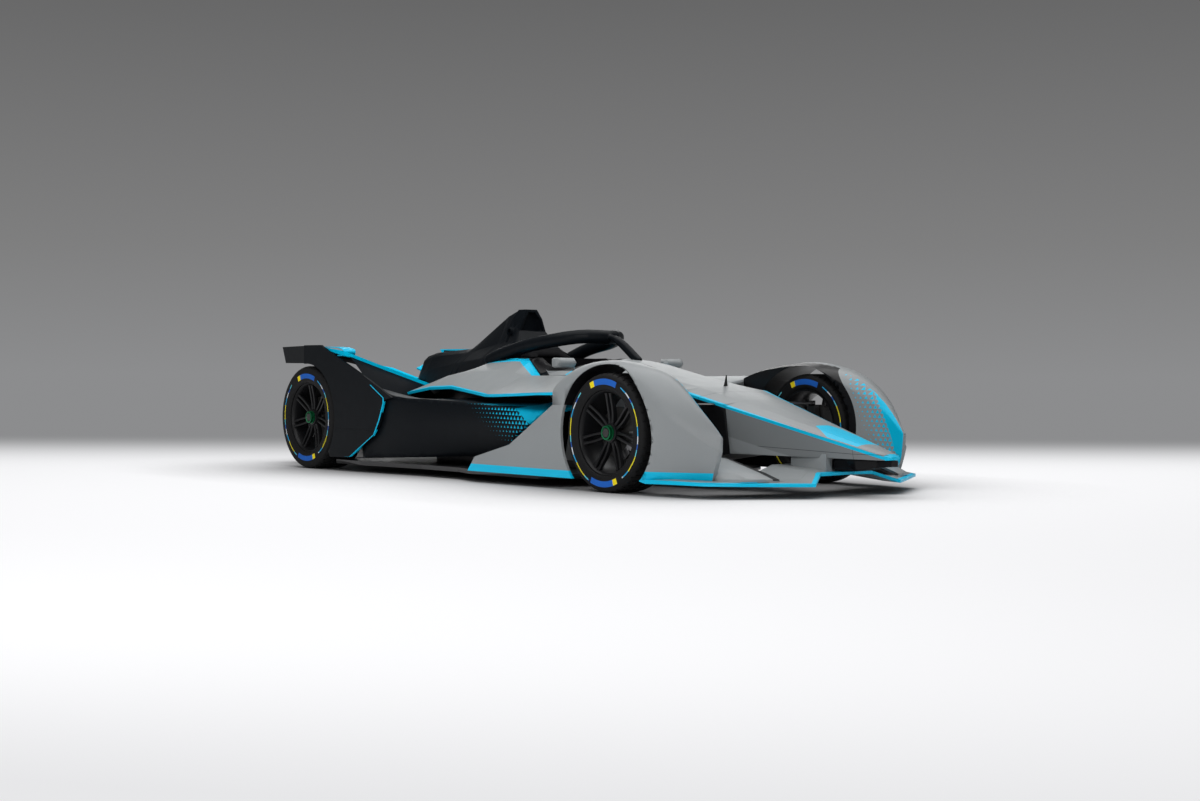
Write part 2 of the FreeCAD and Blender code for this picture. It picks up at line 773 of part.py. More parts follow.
def sidepod():
    outer = smooth([outline(pod_section(row, 0)) for row in pod_shares])
    mouth = pod_section(pod_shares[0], wall)
    for point in mouth[0] + mouth[1]:
        point.x += overrun
    intake = [mouth] + [pod_section(row, wall) for row in pod_shares[1:intake_rows + 1]]
    hollow = smooth([outline(runs) for runs in intake])
    lip = prism([body(place, 0, z_share) for place, z_share in lip_shares],
                Vector(0, half_width, 0))
    outside = beyond_width().translated(Vector(0, -skin - seat_gap, 0))
    return largest(outer.cut(outside).cut(hollow).cut(lip).cut(tub_envelope()))


# Roll hoop, engine cover, halo
def cover_section(row):
    left = half_section(front_axle_x - row[0] * wheelbase, row[1:])
    return left + [Vector(point.x, -point.y, point.z) for point in reversed(left)]


def engine_cover():
    bush, bore = lifting_bush()
    levels = ruled(hoop_levels(0))
    shell = ruled([cover_section(row) for row in cover_shares])
    return largest(shell.cut(levels).cut(bush).cut(bore))


def hoop_levels(inset):
    """Level outlines of the roll hoop, or of the pocket that many millimetres inside it."""
    outlines = []
    for row in hoop_shares:
        z_share, front_share, back_share, half_share = row
        front = body(front_share, 0, 0).x
        back = body(back_share, 0, 0).x + inset
        half = half_share * half_width - inset
        z = z_share * body_height
        if inset:
            front = front + overrun
        if row is hoop_shares[-1]:
            z = z - inset
        outlines.append([Vector(front, -half, z), Vector(front, half, z),
                         Vector(back, half, z), Vector(back, -half, z)])
    return outlines


def roll_hoop():
    bush, bore = lifting_bush()
    pocket = ruled(hoop_levels(hoop_wall)[1:]).cut(hoop_back())
    frame = ruled(hoop_levels(0)).cut(pocket).fuse(bush).cut(bore)
    return largest(frame.cut(tub_envelope()))


def hoop_back():
    """The solid rear of the hoop, behind its pocket."""
    back = body(hoop_pocket_share, 0, 0).x
    return Part.makeBox(wheelbase, overall_width, overall_length,
                        Vector(back - wheelbase, -half_width, 0))


def lifting_bush():
    """The tube across the hoop that a crane's bar goes through, and its bore."""
    centre = body(lifting_place_share, 0, lifting_height_share)
    start = centre - Vector(0, lifting_bush_length / 2, 0)
    bush = Part.makeCylinder(lifting_bush_radius, lifting_bush_length, start, Vector(0, 1, 0))
    through = lifting_bush_length + 2 * overrun
    bore = Part.makeCylinder(lifting_bore_radius, through, start - Vector(0, overrun, 0),
                             Vector(0, 1, 0))
    return bush, bore


def halo():
    ring = [body(*share) for share in halo_shares]
    arms = [Vector(point.x, -point.y, point.z) for point in reversed(ring[1:])] + ring
    hoop = tube(arms, halo_half_width, halo_half_height, halo_sides, halo_steps)
    pillar_path = [body(*share) for share in pillar_shares]
    pillar = ruled([pillar_section(point) for point in pillar_path])
    sides = shoulder()
    frame = hoop.fuse(pillar).cut(tub_envelope()).cut(engine_cover())
    return largest(frame.cut(sides).cut(mirrored(sides)))


def pillar_section(point):
    """A slim hexagon in a level plane, longer than it is wide."""
    half = pillar_half_length * pillar_width_share
    nose = Vector(pillar_half_length, 0, 0)
    shoulder_step = Vector(pillar_half_length / 2, half, 0)
    other_step = Vector(pillar_half_length / 2, -half, 0)
    return [point + nose, point + shoulder_step, point - other_step,
            point - nose, point - shoulder_step, point + other_step]


# Rear bodywork
def deflector():
    outwards = Vector(0, skin, 0)
    inner = [body(place, 1.0, z_share) - outwards for place, z_share in deflector_shares]
    panel = prism(inner, outwards)
    arch = across(rear_arch_radius, half_width, rear_axle_x, 0, rear_tyre_radius, 1)
    return panel.cut(arch).fuse(tip_plate())


def tip_plate():
    inwards = Vector(0, -skin, 0)
    outlines = []
    for upper, lower in wing_tip_plate_shares:
        top = body(*upper)
        low = body(*lower)
        outlines.append([low, top, top + inwards, low + inwards])
    return ruled(outlines)


def rear_wing():
    return wing_panel(rear_wing_shares, skin).cut(tip_clearance()).cut(engine_cover())


def tip_clearance():
    """Everything outboard of the tip plates' inner faces."""
    points = []
    for upper, _ in wing_tip_plate_shares:
        points.append(body(upper[0], upper[1], 0) - Vector(0, skin + seat_gap, 0))
    far = [Vector(points[1].x - overrun, overall_width, 0),
           Vector(points[0].x + wheelbase, overall_width, 0),
           Vector(points[0].x + wheelbase, points[0].y, 0)]
    return prism([points[0], points[1], points[1] - Vector(overrun, 0, 0)] + far,
                 Vector(0, 0, overall_length))


def wing_section(nose, tail, thickness):
    lift = Vector(0, 0, thickness)
    quarter = nose + (tail - nose) * wing_quarter_share
    blunt = lift * wing_nose_share
    sharp = lift * wing_tail_share
    return [nose - blunt, nose + blunt, quarter + lift, tail + sharp, tail - sharp, quarter - lift]


def wing_panel(rows, thickness):
    """One side of a wing from rows of y, nose place and height, tail place and height."""
    outlines = []
    for y_share, nose, nose_z, tail, tail_z in rows:
        outlines.append(wing_section(body(nose, y_share, nose_z), body(tail, y_share, tail_z),
                                     thickness))
    return ruled(outlines)


def floor():
    left = [body(place, y_share, 0) + Vector(0, 0, floor_height) for place, y_share in floor_shares]
    right = [Vector(point.x, -point.y, point.z) for point in reversed(left)]
    plate = prism(left + right, Vector(0, 0, floor_thickness))
    outlines = []
    for place, y, low, high in diffuser_shares:
        outlines.append([body(place, -y, low), body(place, y, low),
                         body(place, y, high), body(place, -y, high)])
    return plate.fuse(ruled(outlines)).cut(rear_wheel_space()).cut(front_wheel_space())


def rear_wheel_space():
    one = across(rear_arch_radius, rear_tyre_width + 2 * running_gap, rear_axle_x,
                 half_width - rear_tyre_width - running_gap, rear_tyre_radius, 1)
    return one.fuse(mirrored(one))


def front_wheel_space():
    well = front_tyre_width * front_well_share
    one = across(arch_radius, well, front_axle_x, half_width - well, front_tyre_radius, 1)
    return one.fuse(mirrored(one))


def front_wing():
    side = wing_panel(front_wing_shares, plate_half_thickness)
    side = side.fuse(wing_panel(flap_shares, plate_half_thickness))
    for row in (flap_shares[0], flap_shares[-1]):
        side = side.fuse(flap_foot(row))
    side = side.cut(fairing())
    return side.fuse(mirrored(side)).removeSplitter()


def flap_foot(row):
    """The fence that carries one end of the flap on the wing."""
    y_share, nose, nose_z, tail, tail_z = row
    fence = [body(nose, y_share, nose_z), body(tail, y_share, tail_z),
             body(tail, y_share, flap_foot_tail_share), body(nose, y_share, flap_foot_nose_share)]
    across_fence = Vector(0, rim_wall, 0)
    return prism([point - across_fence / 2 for point in fence], across_fence)


def wing_pylons():
    """The two pylons between wing and nose, and the keel under the nose's tip."""
    side = [body(place, pylon_y_share, z_share) for place, z_share in pylon_shares]
    one = largest(prism(side, Vector(0, 2 * wall, 0)).cut(front_wing()).cut(nose_cone()))
    outlines = []
    for place, half_share, low, high in skid_shares:
        outlines.append([body(-place, -half_share, low), body(-place, half_share, low),
                         body(-place, half_share, high), body(-place, -half_share, high)])
    keel = largest(ruled(outlines).cut(nose_cone()).cut(front_wing()))
    return one, mirrored(one), keel


# Cockpit fittings
def headrest():
    """The padded horseshoe around the driver's head, and the hump behind it."""
    outlines = []
    for place, half_share, top_share in headrest_shares:
        x = body(place, 0, 0).x
        half = half_share * half_width
        top = top_share * body_height
        low = headrest_low_share * body_height
        top_half = half * headrest_taper_share
        outlines.append([Vector(x, -half, low), Vector(x, half, low),
                         Vector(x, top_half, top), Vector(x, -top_half, top)])
    spaces = []
    for place, half_share in head_space_shares:
        spaces.append([body(place, -half_share, head_space_low_share),
                       body(place, half_share, head_space_low_share),
                       body(place, half_share, head_space_top_share),
                       body(place, -half_share, head_space_top_share)])
    pad = ruled(outlines).cut(ruled(spaces))
    return pad.cut(tub_envelope()).cut(cover_front())


def cover_front():
    """The gap that keeps the pad off the cover and the hoop."""
    front = body(cover_shares[0][0], 0, 0).x + seat_gap
    return Part.makeBox(wheelbase, overall_width, overall_length,
                        Vector(front - wheelbase, -half_width, 0))


def seat():
    base = Vector(0, 0, cockpit_floor + seat_gap)
    side = [body(place, -seat_half_share, z_share) + base for place, z_share in seat_shares]
    return prism(side, Vector(0, 2 * seat_half_share * half_width, 0))


def steering_wheel():
    tilt = math.radians(column_tilt)
    axis = Vector(math.cos(tilt), 0, -math.sin(tilt))
    centre = wheel_centre()
    hub_part = Part.makeCylinder(column_radius, column_length(), centre, axis)
    face = []
    for y_share, z_share in wheel_rim_shares:
        face.append(Vector(-wall / 2, y_share * wheel_half_width, z_share * wheel_half_height))
    plate = prism(face, Vector(wall, 0, 0))
    for side in (-1, 1):
        hole = [Vector(-wall, side * y_share * wheel_half_width, z_share * wheel_half_height)
                for y_share, z_share in wheel_hole_shares]
        plate = plate.cut(prism(hole, Vector(2 * wall, 0, 0)))
    plate.rotate(Vector(0, 0, 0), Vector(0, 1, 0), column_tilt)
    plate.translate(centre)
    return hub_part.fuse(plate)


def wheel_centre():
    return body(wheel_place_share, 0, wheel_height_share)


def column_length():
    return column_share * wheelbase


def column_bore():
    tilt = math.radians(column_tilt)
    axis = Vector(math.cos(tilt), 0, -math.sin(tilt))
    return Part.makeCylinder(column_radius + axle_clearance, column_length() + running_gap,
                             wheel_centre(), axis)


def mirrors():
    outlines = []
    for y_share, half_length, half_height in mirror_shares:
        middle = body(mirror_place_share, y_share, mirror_height_share)
        outlines.append([
            middle + Vector(half_length * wall, 0, 0),
            middle + Vector(half_length * wall / 2, 0, half_height * wall),
            middle + Vector(-half_length * wall, 0, half_height * wall),
            middle + Vector(-half_length * wall, 0, -half_height * wall),
            middle + Vector(half_length * wall / 2, 0, -half_height * wall),
        ])
    stem_start = body(mirror_place_share, mirror_stem_y_share, mirror_stem_z_share)
    stem_end = body(mirror_place_share, mirror_shares[1][0], mirror_height_share)
    one = ruled(outlines).fuse(rod(link_radius / 2, stem_start, stem_end))
    one = one.cut(tub_envelope()).cut(shoulder())
    return one, mirrored(one)


def nose_mast():
    place, foot_share, tall_share = mast_shares
    return Part.makeCylinder(rim_wall, tall_share * body_height, body(place, 0, foot_share),
                             Vector(0, 0, 1))


# Running gear inside
def battery():
    back, half_share, length_share, tall_share = battery_shares
    corner = body(back, -half_share, 0) + Vector(0, 0, floor_height + floor_thickness + seat_gap)
    return Part.makeBox(length_share * wheelbase, 2 * half_share * half_width,
                        tall_share * body_height, corner)


def gearbox():
    back, half_share, length_share, tall_share = gearbox_shares
    corner = body(back, -half_share, 0) + Vector(0, 0, cockpit_floor + wall)
    return Part.makeBox(length_share * wheelbase - seat_gap, 2 * half_share * half_width,
                        tall_share * body_height, corner)


def crash_structure():
    outlines = []
    for place, half_share, low_share, high_share in crash_shares:
        outlines.append([body(place, -half_share, low_share), body(place, half_share, low_share),
                         body(place, half_share, high_share), body(place, -half_share, high_share)])
    return ruled(outlines)


def rain_light():
    half_share, low_share, tall_share = lamp_shares
    corner = body(crash_shares[-1][0], -half_share, low_share) - Vector(wall + seat_gap, 0, 0)
    return Part.makeBox(wall, 2 * half_share * half_width, tall_share * body_height, corner)


def front_wishbones():
    y = half_width - front_tyre_width / 2 - kingpin_inset
    upper = [body(*share) for share in front_upper_shares]
    lower = [body(*share) for share in front_lower_shares]
    top = a_arm(front_axle_x, y, front_tyre_radius, upper, 1)
    low = a_arm(front_axle_x, y, front_tyre_radius, lower, -1)
    push = rod(link_radius, Vector(front_axle_x, y - 2 * ball_radius,
                                   front_tyre_radius - ball_height - ball_length / 2),
               body(*push_rod_shares))
    low = low.fuse(push)
    arms = [arm.cut(tub_envelope()) for arm in (top, low)]
    return arms + [mirrored(arm) for arm in arms]


def rear_wishbones():
    y = half_width - rear_tyre_width / 2 - kingpin_inset
    upper = [body(*share) for share in rear_upper_shares]
    lower = [body(*share) for share in rear_lower_shares]
    top = a_arm(rear_axle_x, y, rear_tyre_radius, upper, 1)
    low = a_arm(rear_axle_x, y, rear_tyre_radius, lower, -1)
    arms = [arm.cut(gearbox()) for arm in (top, low)]
    return arms + [mirrored(arm) for arm in arms]


def steering_rack():
    x = front_axle_x - steering_arm
    y = half_width - front_tyre_width / 2 - kingpin_inset
    bar = Part.makeCylinder(rack_radius, 2 * rack_reach,
                            Vector(x, -rack_reach, front_tyre_radius), Vector(0, 1, 0))
    rods = Part.makeCylinder(tie_rod_radius, 2 * y,
                             Vector(x, -y, front_tyre_radius), Vector(0, 1, 0))
    ends = [Part.makeCylinder(arm_width / 2, 2 * (tie_rod_radius + rim_wall / 2),
                              Vector(x, side * y, front_tyre_radius - tie_rod_radius - rim_wall / 2))
            for side in (-1, 1)]
    return joined([bar, rods] + ends)


def main():
    save("monocoque", monocoque())
    save("belly_pan", belly_pan())
    save("nose_cone", nose_cone())
    save("front_wing", front_wing())
    save("wing_pylons", Part.makeCompound(list(wing_pylons())))
    for side, turned in (("left", lambda shape: shape), ("right", mirrored)):
        save("fairing_" + side, turned(fairing()))
        save("side_panel_" + side, turned(side_panel()))
        save("shoulder_" + side, turned(shoulder()))
        save("sidepod_" + side, turned(sidepod()))
        save("rear_deflector_" + side, turned(deflector()))
        save("front_tyre_" + side, turned(tyre(front_axle_x, front_tyre_radius, front_tyre_width)))
        save("rear_tyre_" + side, turned(tyre(rear_axle_x, rear_tyre_radius, rear_tyre_width)))
        save("front_rim_" + side, turned(rim(front_axle_x, front_tyre_radius, front_tyre_width)))
        save("rear_rim_" + side, turned(rim(rear_axle_x, rear_tyre_radius, rear_tyre_width)))
        inner = half_width - front_tyre_width / 2 - kingpin_inset - upright_thickness
        save("front_hub_" + side, turned(hub(front_axle_x, front_tyre_radius, front_tyre_width, inner)))
        inner = gearbox_shares[1] * half_width + running_gap
        save("rear_hub_" + side, turned(hub(rear_axle_x, rear_tyre_radius, rear_tyre_width, inner)))
        knuckle = upright(front_axle_x, front_tyre_radius, front_tyre_width)
        knuckle = knuckle.fuse(steering_lever(front_axle_x, front_tyre_radius, front_tyre_width))
        save("front_upright_" + side, turned(knuckle))
    rear = upright(rear_axle_x, rear_tyre_radius, rear_tyre_width, -1)
    save("rear_uprights", Part.makeCompound([rear, mirrored(rear)]))
    save("engine_cover", engine_cover())
    save("roll_hoop", roll_hoop())
    save("halo", halo())
    wing = rear_wing()
    save("rear_wing", Part.makeCompound([wing, mirrored(wing)]))
    save("floor", floor())
    save("headrest", headrest())
    save("seat", seat())
    save("steering_wheel", steering_wheel())
    save("mirrors", Part.makeCompound(list(mirrors())))
    save("nose_mast", nose_mast())
    save("battery", battery())
    save("gearbox", gearbox())
    save("crash_structure", crash_structure())
    save("rain_light", rain_light())
    save("front_wishbones", Part.makeCompound(front_wishbones()))
    save("rear_wishbones", Part.makeCompound(rear_wishbones()))
    save("steering_rack", steering_rack())


main()
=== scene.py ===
"""Open wheel racing car: paint, wheels, cockpit trim and studio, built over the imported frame."""

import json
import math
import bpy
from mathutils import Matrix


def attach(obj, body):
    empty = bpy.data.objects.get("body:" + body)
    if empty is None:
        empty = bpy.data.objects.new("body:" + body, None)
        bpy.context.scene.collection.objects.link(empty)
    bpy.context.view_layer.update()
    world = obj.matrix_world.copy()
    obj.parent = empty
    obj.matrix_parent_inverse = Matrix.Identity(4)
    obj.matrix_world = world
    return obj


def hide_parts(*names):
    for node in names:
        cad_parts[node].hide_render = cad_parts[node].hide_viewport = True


bl_info = {
    "name": "Open Wheel Racing Car Finish",
    "version": (1, 0, 0),
    "blender": (4, 5, 0),
    "location": "View3D > Sidebar > Racing Car",
    "description": "Dresses the packed racing car with paint, tyres, wheels and cockpit trim",
    "category": "Object",
}

import bmesh
import bpy
from mathutils import Matrix, Vector

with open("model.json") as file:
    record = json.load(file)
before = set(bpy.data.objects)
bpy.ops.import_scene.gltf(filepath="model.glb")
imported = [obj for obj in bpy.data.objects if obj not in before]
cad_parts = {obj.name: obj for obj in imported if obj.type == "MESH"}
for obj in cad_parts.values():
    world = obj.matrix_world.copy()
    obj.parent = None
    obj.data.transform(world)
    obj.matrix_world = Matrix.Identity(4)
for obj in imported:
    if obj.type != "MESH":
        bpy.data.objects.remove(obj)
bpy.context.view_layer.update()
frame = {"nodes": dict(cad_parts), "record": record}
cad_nodes = frame["nodes"]
body_of_node = {
    node: body
    for body, members in frame["record"]["behaviour"]["bodies"].items() for node in members}

# The car runs along x with its nose ahead, y is left and z is up, all in metres
FRONT_AXLE = Vector((1.310, 0.0, 0.320))
REAR_AXLE = Vector((-1.790, 0.0, 0.340))
SIDES = (("left", 1), ("right", -1))
HALF_WIDTH = 0.885
TO_RIGHT = Matrix.Scale(-1, 4, (0, 1, 0))

# The photograph's viewpoint, in metres and radians
CAMERA_PLACE = (8.7719, -7.0467, 0.6315)
VIEW_YAW, VIEW_PITCH, VIEW_ROLL = 2.453170, -0.0143163, 0.0039223

# Fixed tones
BLACK = (0.0, 0.0, 0.0, 1.0)
NEAR_BLACK = (0.006, 0.006, 0.007, 1.0)
WING_BLACK = (0.004, 0.004, 0.005, 1.0)
UNDERSIDE = (0.012, 0.012, 0.013, 1.0)
ALLOY_GREY = (0.30, 0.30, 0.31, 1.0)

# Roughness and shine of the blue-black paint
DARK_SKIN = (0.48, 0.09)

# Soft steps of a painted edge in metres, of a facing, and of the triangles' outlines
EDGE_SOFT, FACING_SOFT, TRIANGLE_SOFT = 0.0008, 0.02, 0.03
ROW_SHARE = 0.866

# How near points lie to be merged, in a CAD copy and in a new mesh
CAD_MERGE, MERGE = 0.00002, 0.00001
CURVE_STEPS = 8
TYRE_STEPS, NUT_STEPS = 216, 96
CLOTH_FRAMES = 20

# Lines of the livery: (along the car, height) or (along the car, distance from its middle)
CHINE = ((0.470, 0.630), (0.940, 0.567), (1.310, 0.541), (1.560, 0.475), (2.560, 0.212))
CHINE_HALF_WIDTH = (
    (0.470, 0.350), (0.940, 0.345), (1.310, 0.330), (1.560, 0.276), (2.560, 0.050))
SHOULDER_TOP = (
    (-1.300, 0.577), (-1.150, 0.577), (-1.000, 0.612), (-0.820, 0.657),
    (-0.670, 0.692), (-0.450, 0.718), (-0.200, 0.731), (0.100, 0.731))
SHOULDER_HEM = (
    (-1.090, 0.514), (-0.785, 0.547), (-0.490, 0.555), (-0.215, 0.529),
    (-0.007, 0.510), (0.432, 0.522), (0.890, 0.532))
FAIRING_HEM = ((0.900, 0.108), (1.049, 0.106), (1.576, 0.126), (2.060, 0.130))
FAIRING_RIDGE = (
    (1.310, 0.745), (1.496, 0.744), (1.651, 0.750), (1.809, 0.739), (1.930, 0.726), (2.041, 0.702))
FAIRING_RIDGE_TOP = (
    (1.310, 0.706), (1.496, 0.679), (1.651, 0.633), (1.809, 0.532), (1.930, 0.423), (2.041, 0.303))
SIDE_PANEL_HEM = ((0.030, 0.109), (1.049, 0.106), (1.300, 0.106))
NOSE_PANEL = ((1.430, 0.265), (2.365, 0.226), (2.560, 0.2255))

# Widths of the shoulder's two accent lines by how far along the car they are
SHOULDER_TOP_LINE = (
    (-1.200, 0.012), (-0.700, 0.012), (-0.350, 0.018), (-0.134, 0.022), (0.070, 0.022))
SHOULDER_HEM_LINE = ((-0.700, 0.0070), (-0.200, 0.0040), (0.100, 0.0015))

# Reach of the dark arch from the front axle, by how far along the car it is
ARCH_REACH = ((0.900, 0.640), (1.300, 0.500), (1.380, 0.408), (2.000, 0.416))

# The rear deflector's line as (height, along the car)
DEFLECTOR_LINE = (
    (0.095, -1.300), (0.097, -1.240), (0.247, -0.952), (0.341, -0.892),
    (0.447, -0.844), (0.480, -0.844), (0.558, -0.991))

# Leading edges of the wings as (distance from the middle, along the car)
REAR_WING_LEAD = ((0.250, -1.300), (0.870, -1.255))
FRONT_WING_LEAD = (
    (0.000, 2.248), (0.200, 2.248), (0.324, 2.333), (0.575, 2.172),
    (0.801, 2.026), (0.851, 1.775), (0.872, 1.651))
FRONT_WING_TOP = ((0.000, 0.150), (0.300, 0.150), (0.420, 0.087), (0.872, 0.087))

# The slanted marks' direction over the top, and (slope, start) of their three edges
MARK_ALONG, MARK_ACROSS = 0.634, 0.773
MARK_EDGES = ((0.923, -0.381), (0.713, -0.307), (0.640, -0.242))

# Coloured runs round the tyre's sidewall, as (share of a run, tone)
STREAK_TONES = (
    (0.00, (0.70, 0.60, 0.02, 1.0)), (0.26, (0.02, 0.33, 0.62, 1.0)),
    (0.46, (0.62, 0.66, 0.70, 1.0)), (0.62, (0.02, 0.10, 0.42, 1.0)),
    (0.74, (0.10, 0.50, 0.60, 1.0)), (0.88, (0.70, 0.60, 0.02, 1.0)))

# A rim bar from the hub outwards: (reach, outer face, degrees off the pair's middle, width, depth)
RIM_BAR = (
    (0.044, 0.8345, 12.4, 0.0190, 0.032), (0.070, 0.8335, 10.6, 0.0160, 0.032),
    (0.100, 0.8350, 9.2, 0.0145, 0.030), (0.135, 0.8400, 7.6, 0.0140, 0.028),
    (0.170, 0.8470, 6.0, 0.0140, 0.026), (0.198, 0.8530, 4.8, 0.0160, 0.024),
    (0.2145, 0.8570, 4.4, 0.0210, 0.022))
BAR_PAIRS = 7

# Rings of turned parts as (across the car, radius)
RIM_CENTRE = (
    (0.8435, 0.0300), (0.8435, 0.0480), (0.8415, 0.0515), (0.8300, 0.0550),
    (0.8080, 0.0560), (0.7990, 0.0520), (0.7990, 0.0300))
NUT_RINGS = (
    (0.8435, 0.0250), (0.8435, 0.0415), (0.8500, 0.0415), (0.8510, 0.0385),
    (0.8600, 0.0385), (0.8685, 0.0375), (0.8690, 0.0300), (0.8640, 0.0270))

# The mast's fin, as stations and the size of each
MAST_STATIONS = ((1.3190, 0, 0.5680), (1.3205, 0, 0.5820), (1.3230, 0, 0.6060), (1.3255, 0, 0.6310))
MAST_SIZES = ((0.0180, 0.0180), (0.0150, 0.0130), (0.0100, 0.0080), (0.0050, 0.0050))

# Side views of folded and sloping pieces, as (along the car, height)
WING_FOLD = (
    (-1.640, 0.8050), (-1.480, 0.8020), (-1.385, 0.7930),
    (-1.345, 0.7760), (-1.352, 0.7560), (-1.420, 0.7480))
REAR_RAMP = ((-1.2830, 0.6450), (-1.1850, 0.5800), (-1.0100, 0.4350))
SHOULDER_STRAP = (
    (-0.272, 0.572), (-0.236, 0.580), (-0.198, 0.520),
    (-0.140, 0.395), (-0.078, 0.258), (-0.020, 0.208))
RIVET_PLACES = (
    (-1.010, 0.330), (-1.040, 0.330), (-1.020, 0.248), (-1.330, 0.262), (-1.300, 0.318),
    (-1.060, 0.460), (-1.360, 0.470), (-1.200, 0.150), (-1.140, 0.560))

# The steering wheel's face, and its buttons as (tone, across, up) on it
WHEEL_CENTRE = (0.318, 0.0, 0.585)
WHEEL_TILT = 12
BUTTONS = (
    ("accent", 0.045, -0.040), ("red", -0.045, -0.040), ("green", 0.020, -0.050),
    ("accent", -0.020, -0.050), ("green", 0.078, 0.058), ("red", -0.078, 0.058))


# Settings that a user would change
class PaintSettings(bpy.types.PropertyGroup):
    grey: bpy.props.FloatVectorProperty(
        name="Grey paint", description="Satin grey of the front bodywork",
        subtype="COLOR", size=4, min=0, max=1, default=(0.270, 0.285, 0.290, 1.0))
    dark: bpy.props.FloatVectorProperty(
        name="Dark paint", description="Satin blue-black of the rear bodywork",
        subtype="COLOR", size=4, min=0, max=1, default=(0.0032, 0.0048, 0.0068, 1.0))
    accent: bpy.props.FloatVectorProperty(
        name="Accent", description="Bright blue-green of the stripes and the triangles",
        subtype="COLOR", size=4, min=0, max=1, default=(0.0005, 0.510, 0.780, 1.0))
    # The flanks' tone is painted shade: a darker copy of the grey, used below the chine
    flank: bpy.props.FloatProperty(
        name="Flank shade", description="Tone of the nose flanks as a share of the top's",
        default=0.74, min=0.1, max=1.0, subtype="FACTOR")
    line: bpy.props.FloatProperty(
        name="Chine line", description="Width of the accent line along the chine",
        default=0.014, min=0.002, max=0.05, unit="LENGTH")
    triangle: bpy.props.FloatProperty(
        name="Triangle pitch", description="Distance between the triangles of the pattern",
        default=0.030, min=0.01, max=0.1, unit="LENGTH")


class StudioSettings(bpy.types.PropertyGroup):
    wall: bpy.props.FloatVectorProperty(
        name="Wall", description="Grey of the wall behind the car",
        subtype="COLOR", size=4, min=0, max=1, default=(0.262, 0.264, 0.270, 1.0))
    ceiling: bpy.props.FloatVectorProperty(
        name="Upper wall", description="Grey of the wall at the top of the picture",
        subtype="COLOR", size=4, min=0, max=1, default=(0.130, 0.130, 0.131, 1.0))
    floor_tone: bpy.props.FloatVectorProperty(
        name="Floor", description="Pale tone of the floor",
        subtype="COLOR", size=4, min=0, max=1, default=(0.860, 0.860, 0.870, 1.0))
    lens: bpy.props.FloatProperty(
        name="Lens", description="Focal length of the camera in millimetres",
        default=54.496, min=20, max=200)
    power: bpy.props.FloatProperty(
        name="Overhead power", description="Power of the overhead soft box in watts",
        default=385, min=10, max=5000)


class WheelSettings(bpy.types.PropertyGroup):
    sipe_depth: bpy.props.FloatProperty(
        name="Groove depth", description="Depth of the tread grooves",
        default=0.006, min=0.001, max=0.02, unit="LENGTH")
    nut: bpy.props.FloatVectorProperty(
        name="Wheel nut", description="Anodised colour of the wheel nuts",
        subtype="COLOR", size=4, min=0, max=1, default=(0.005, 0.170, 0.060, 1.0))


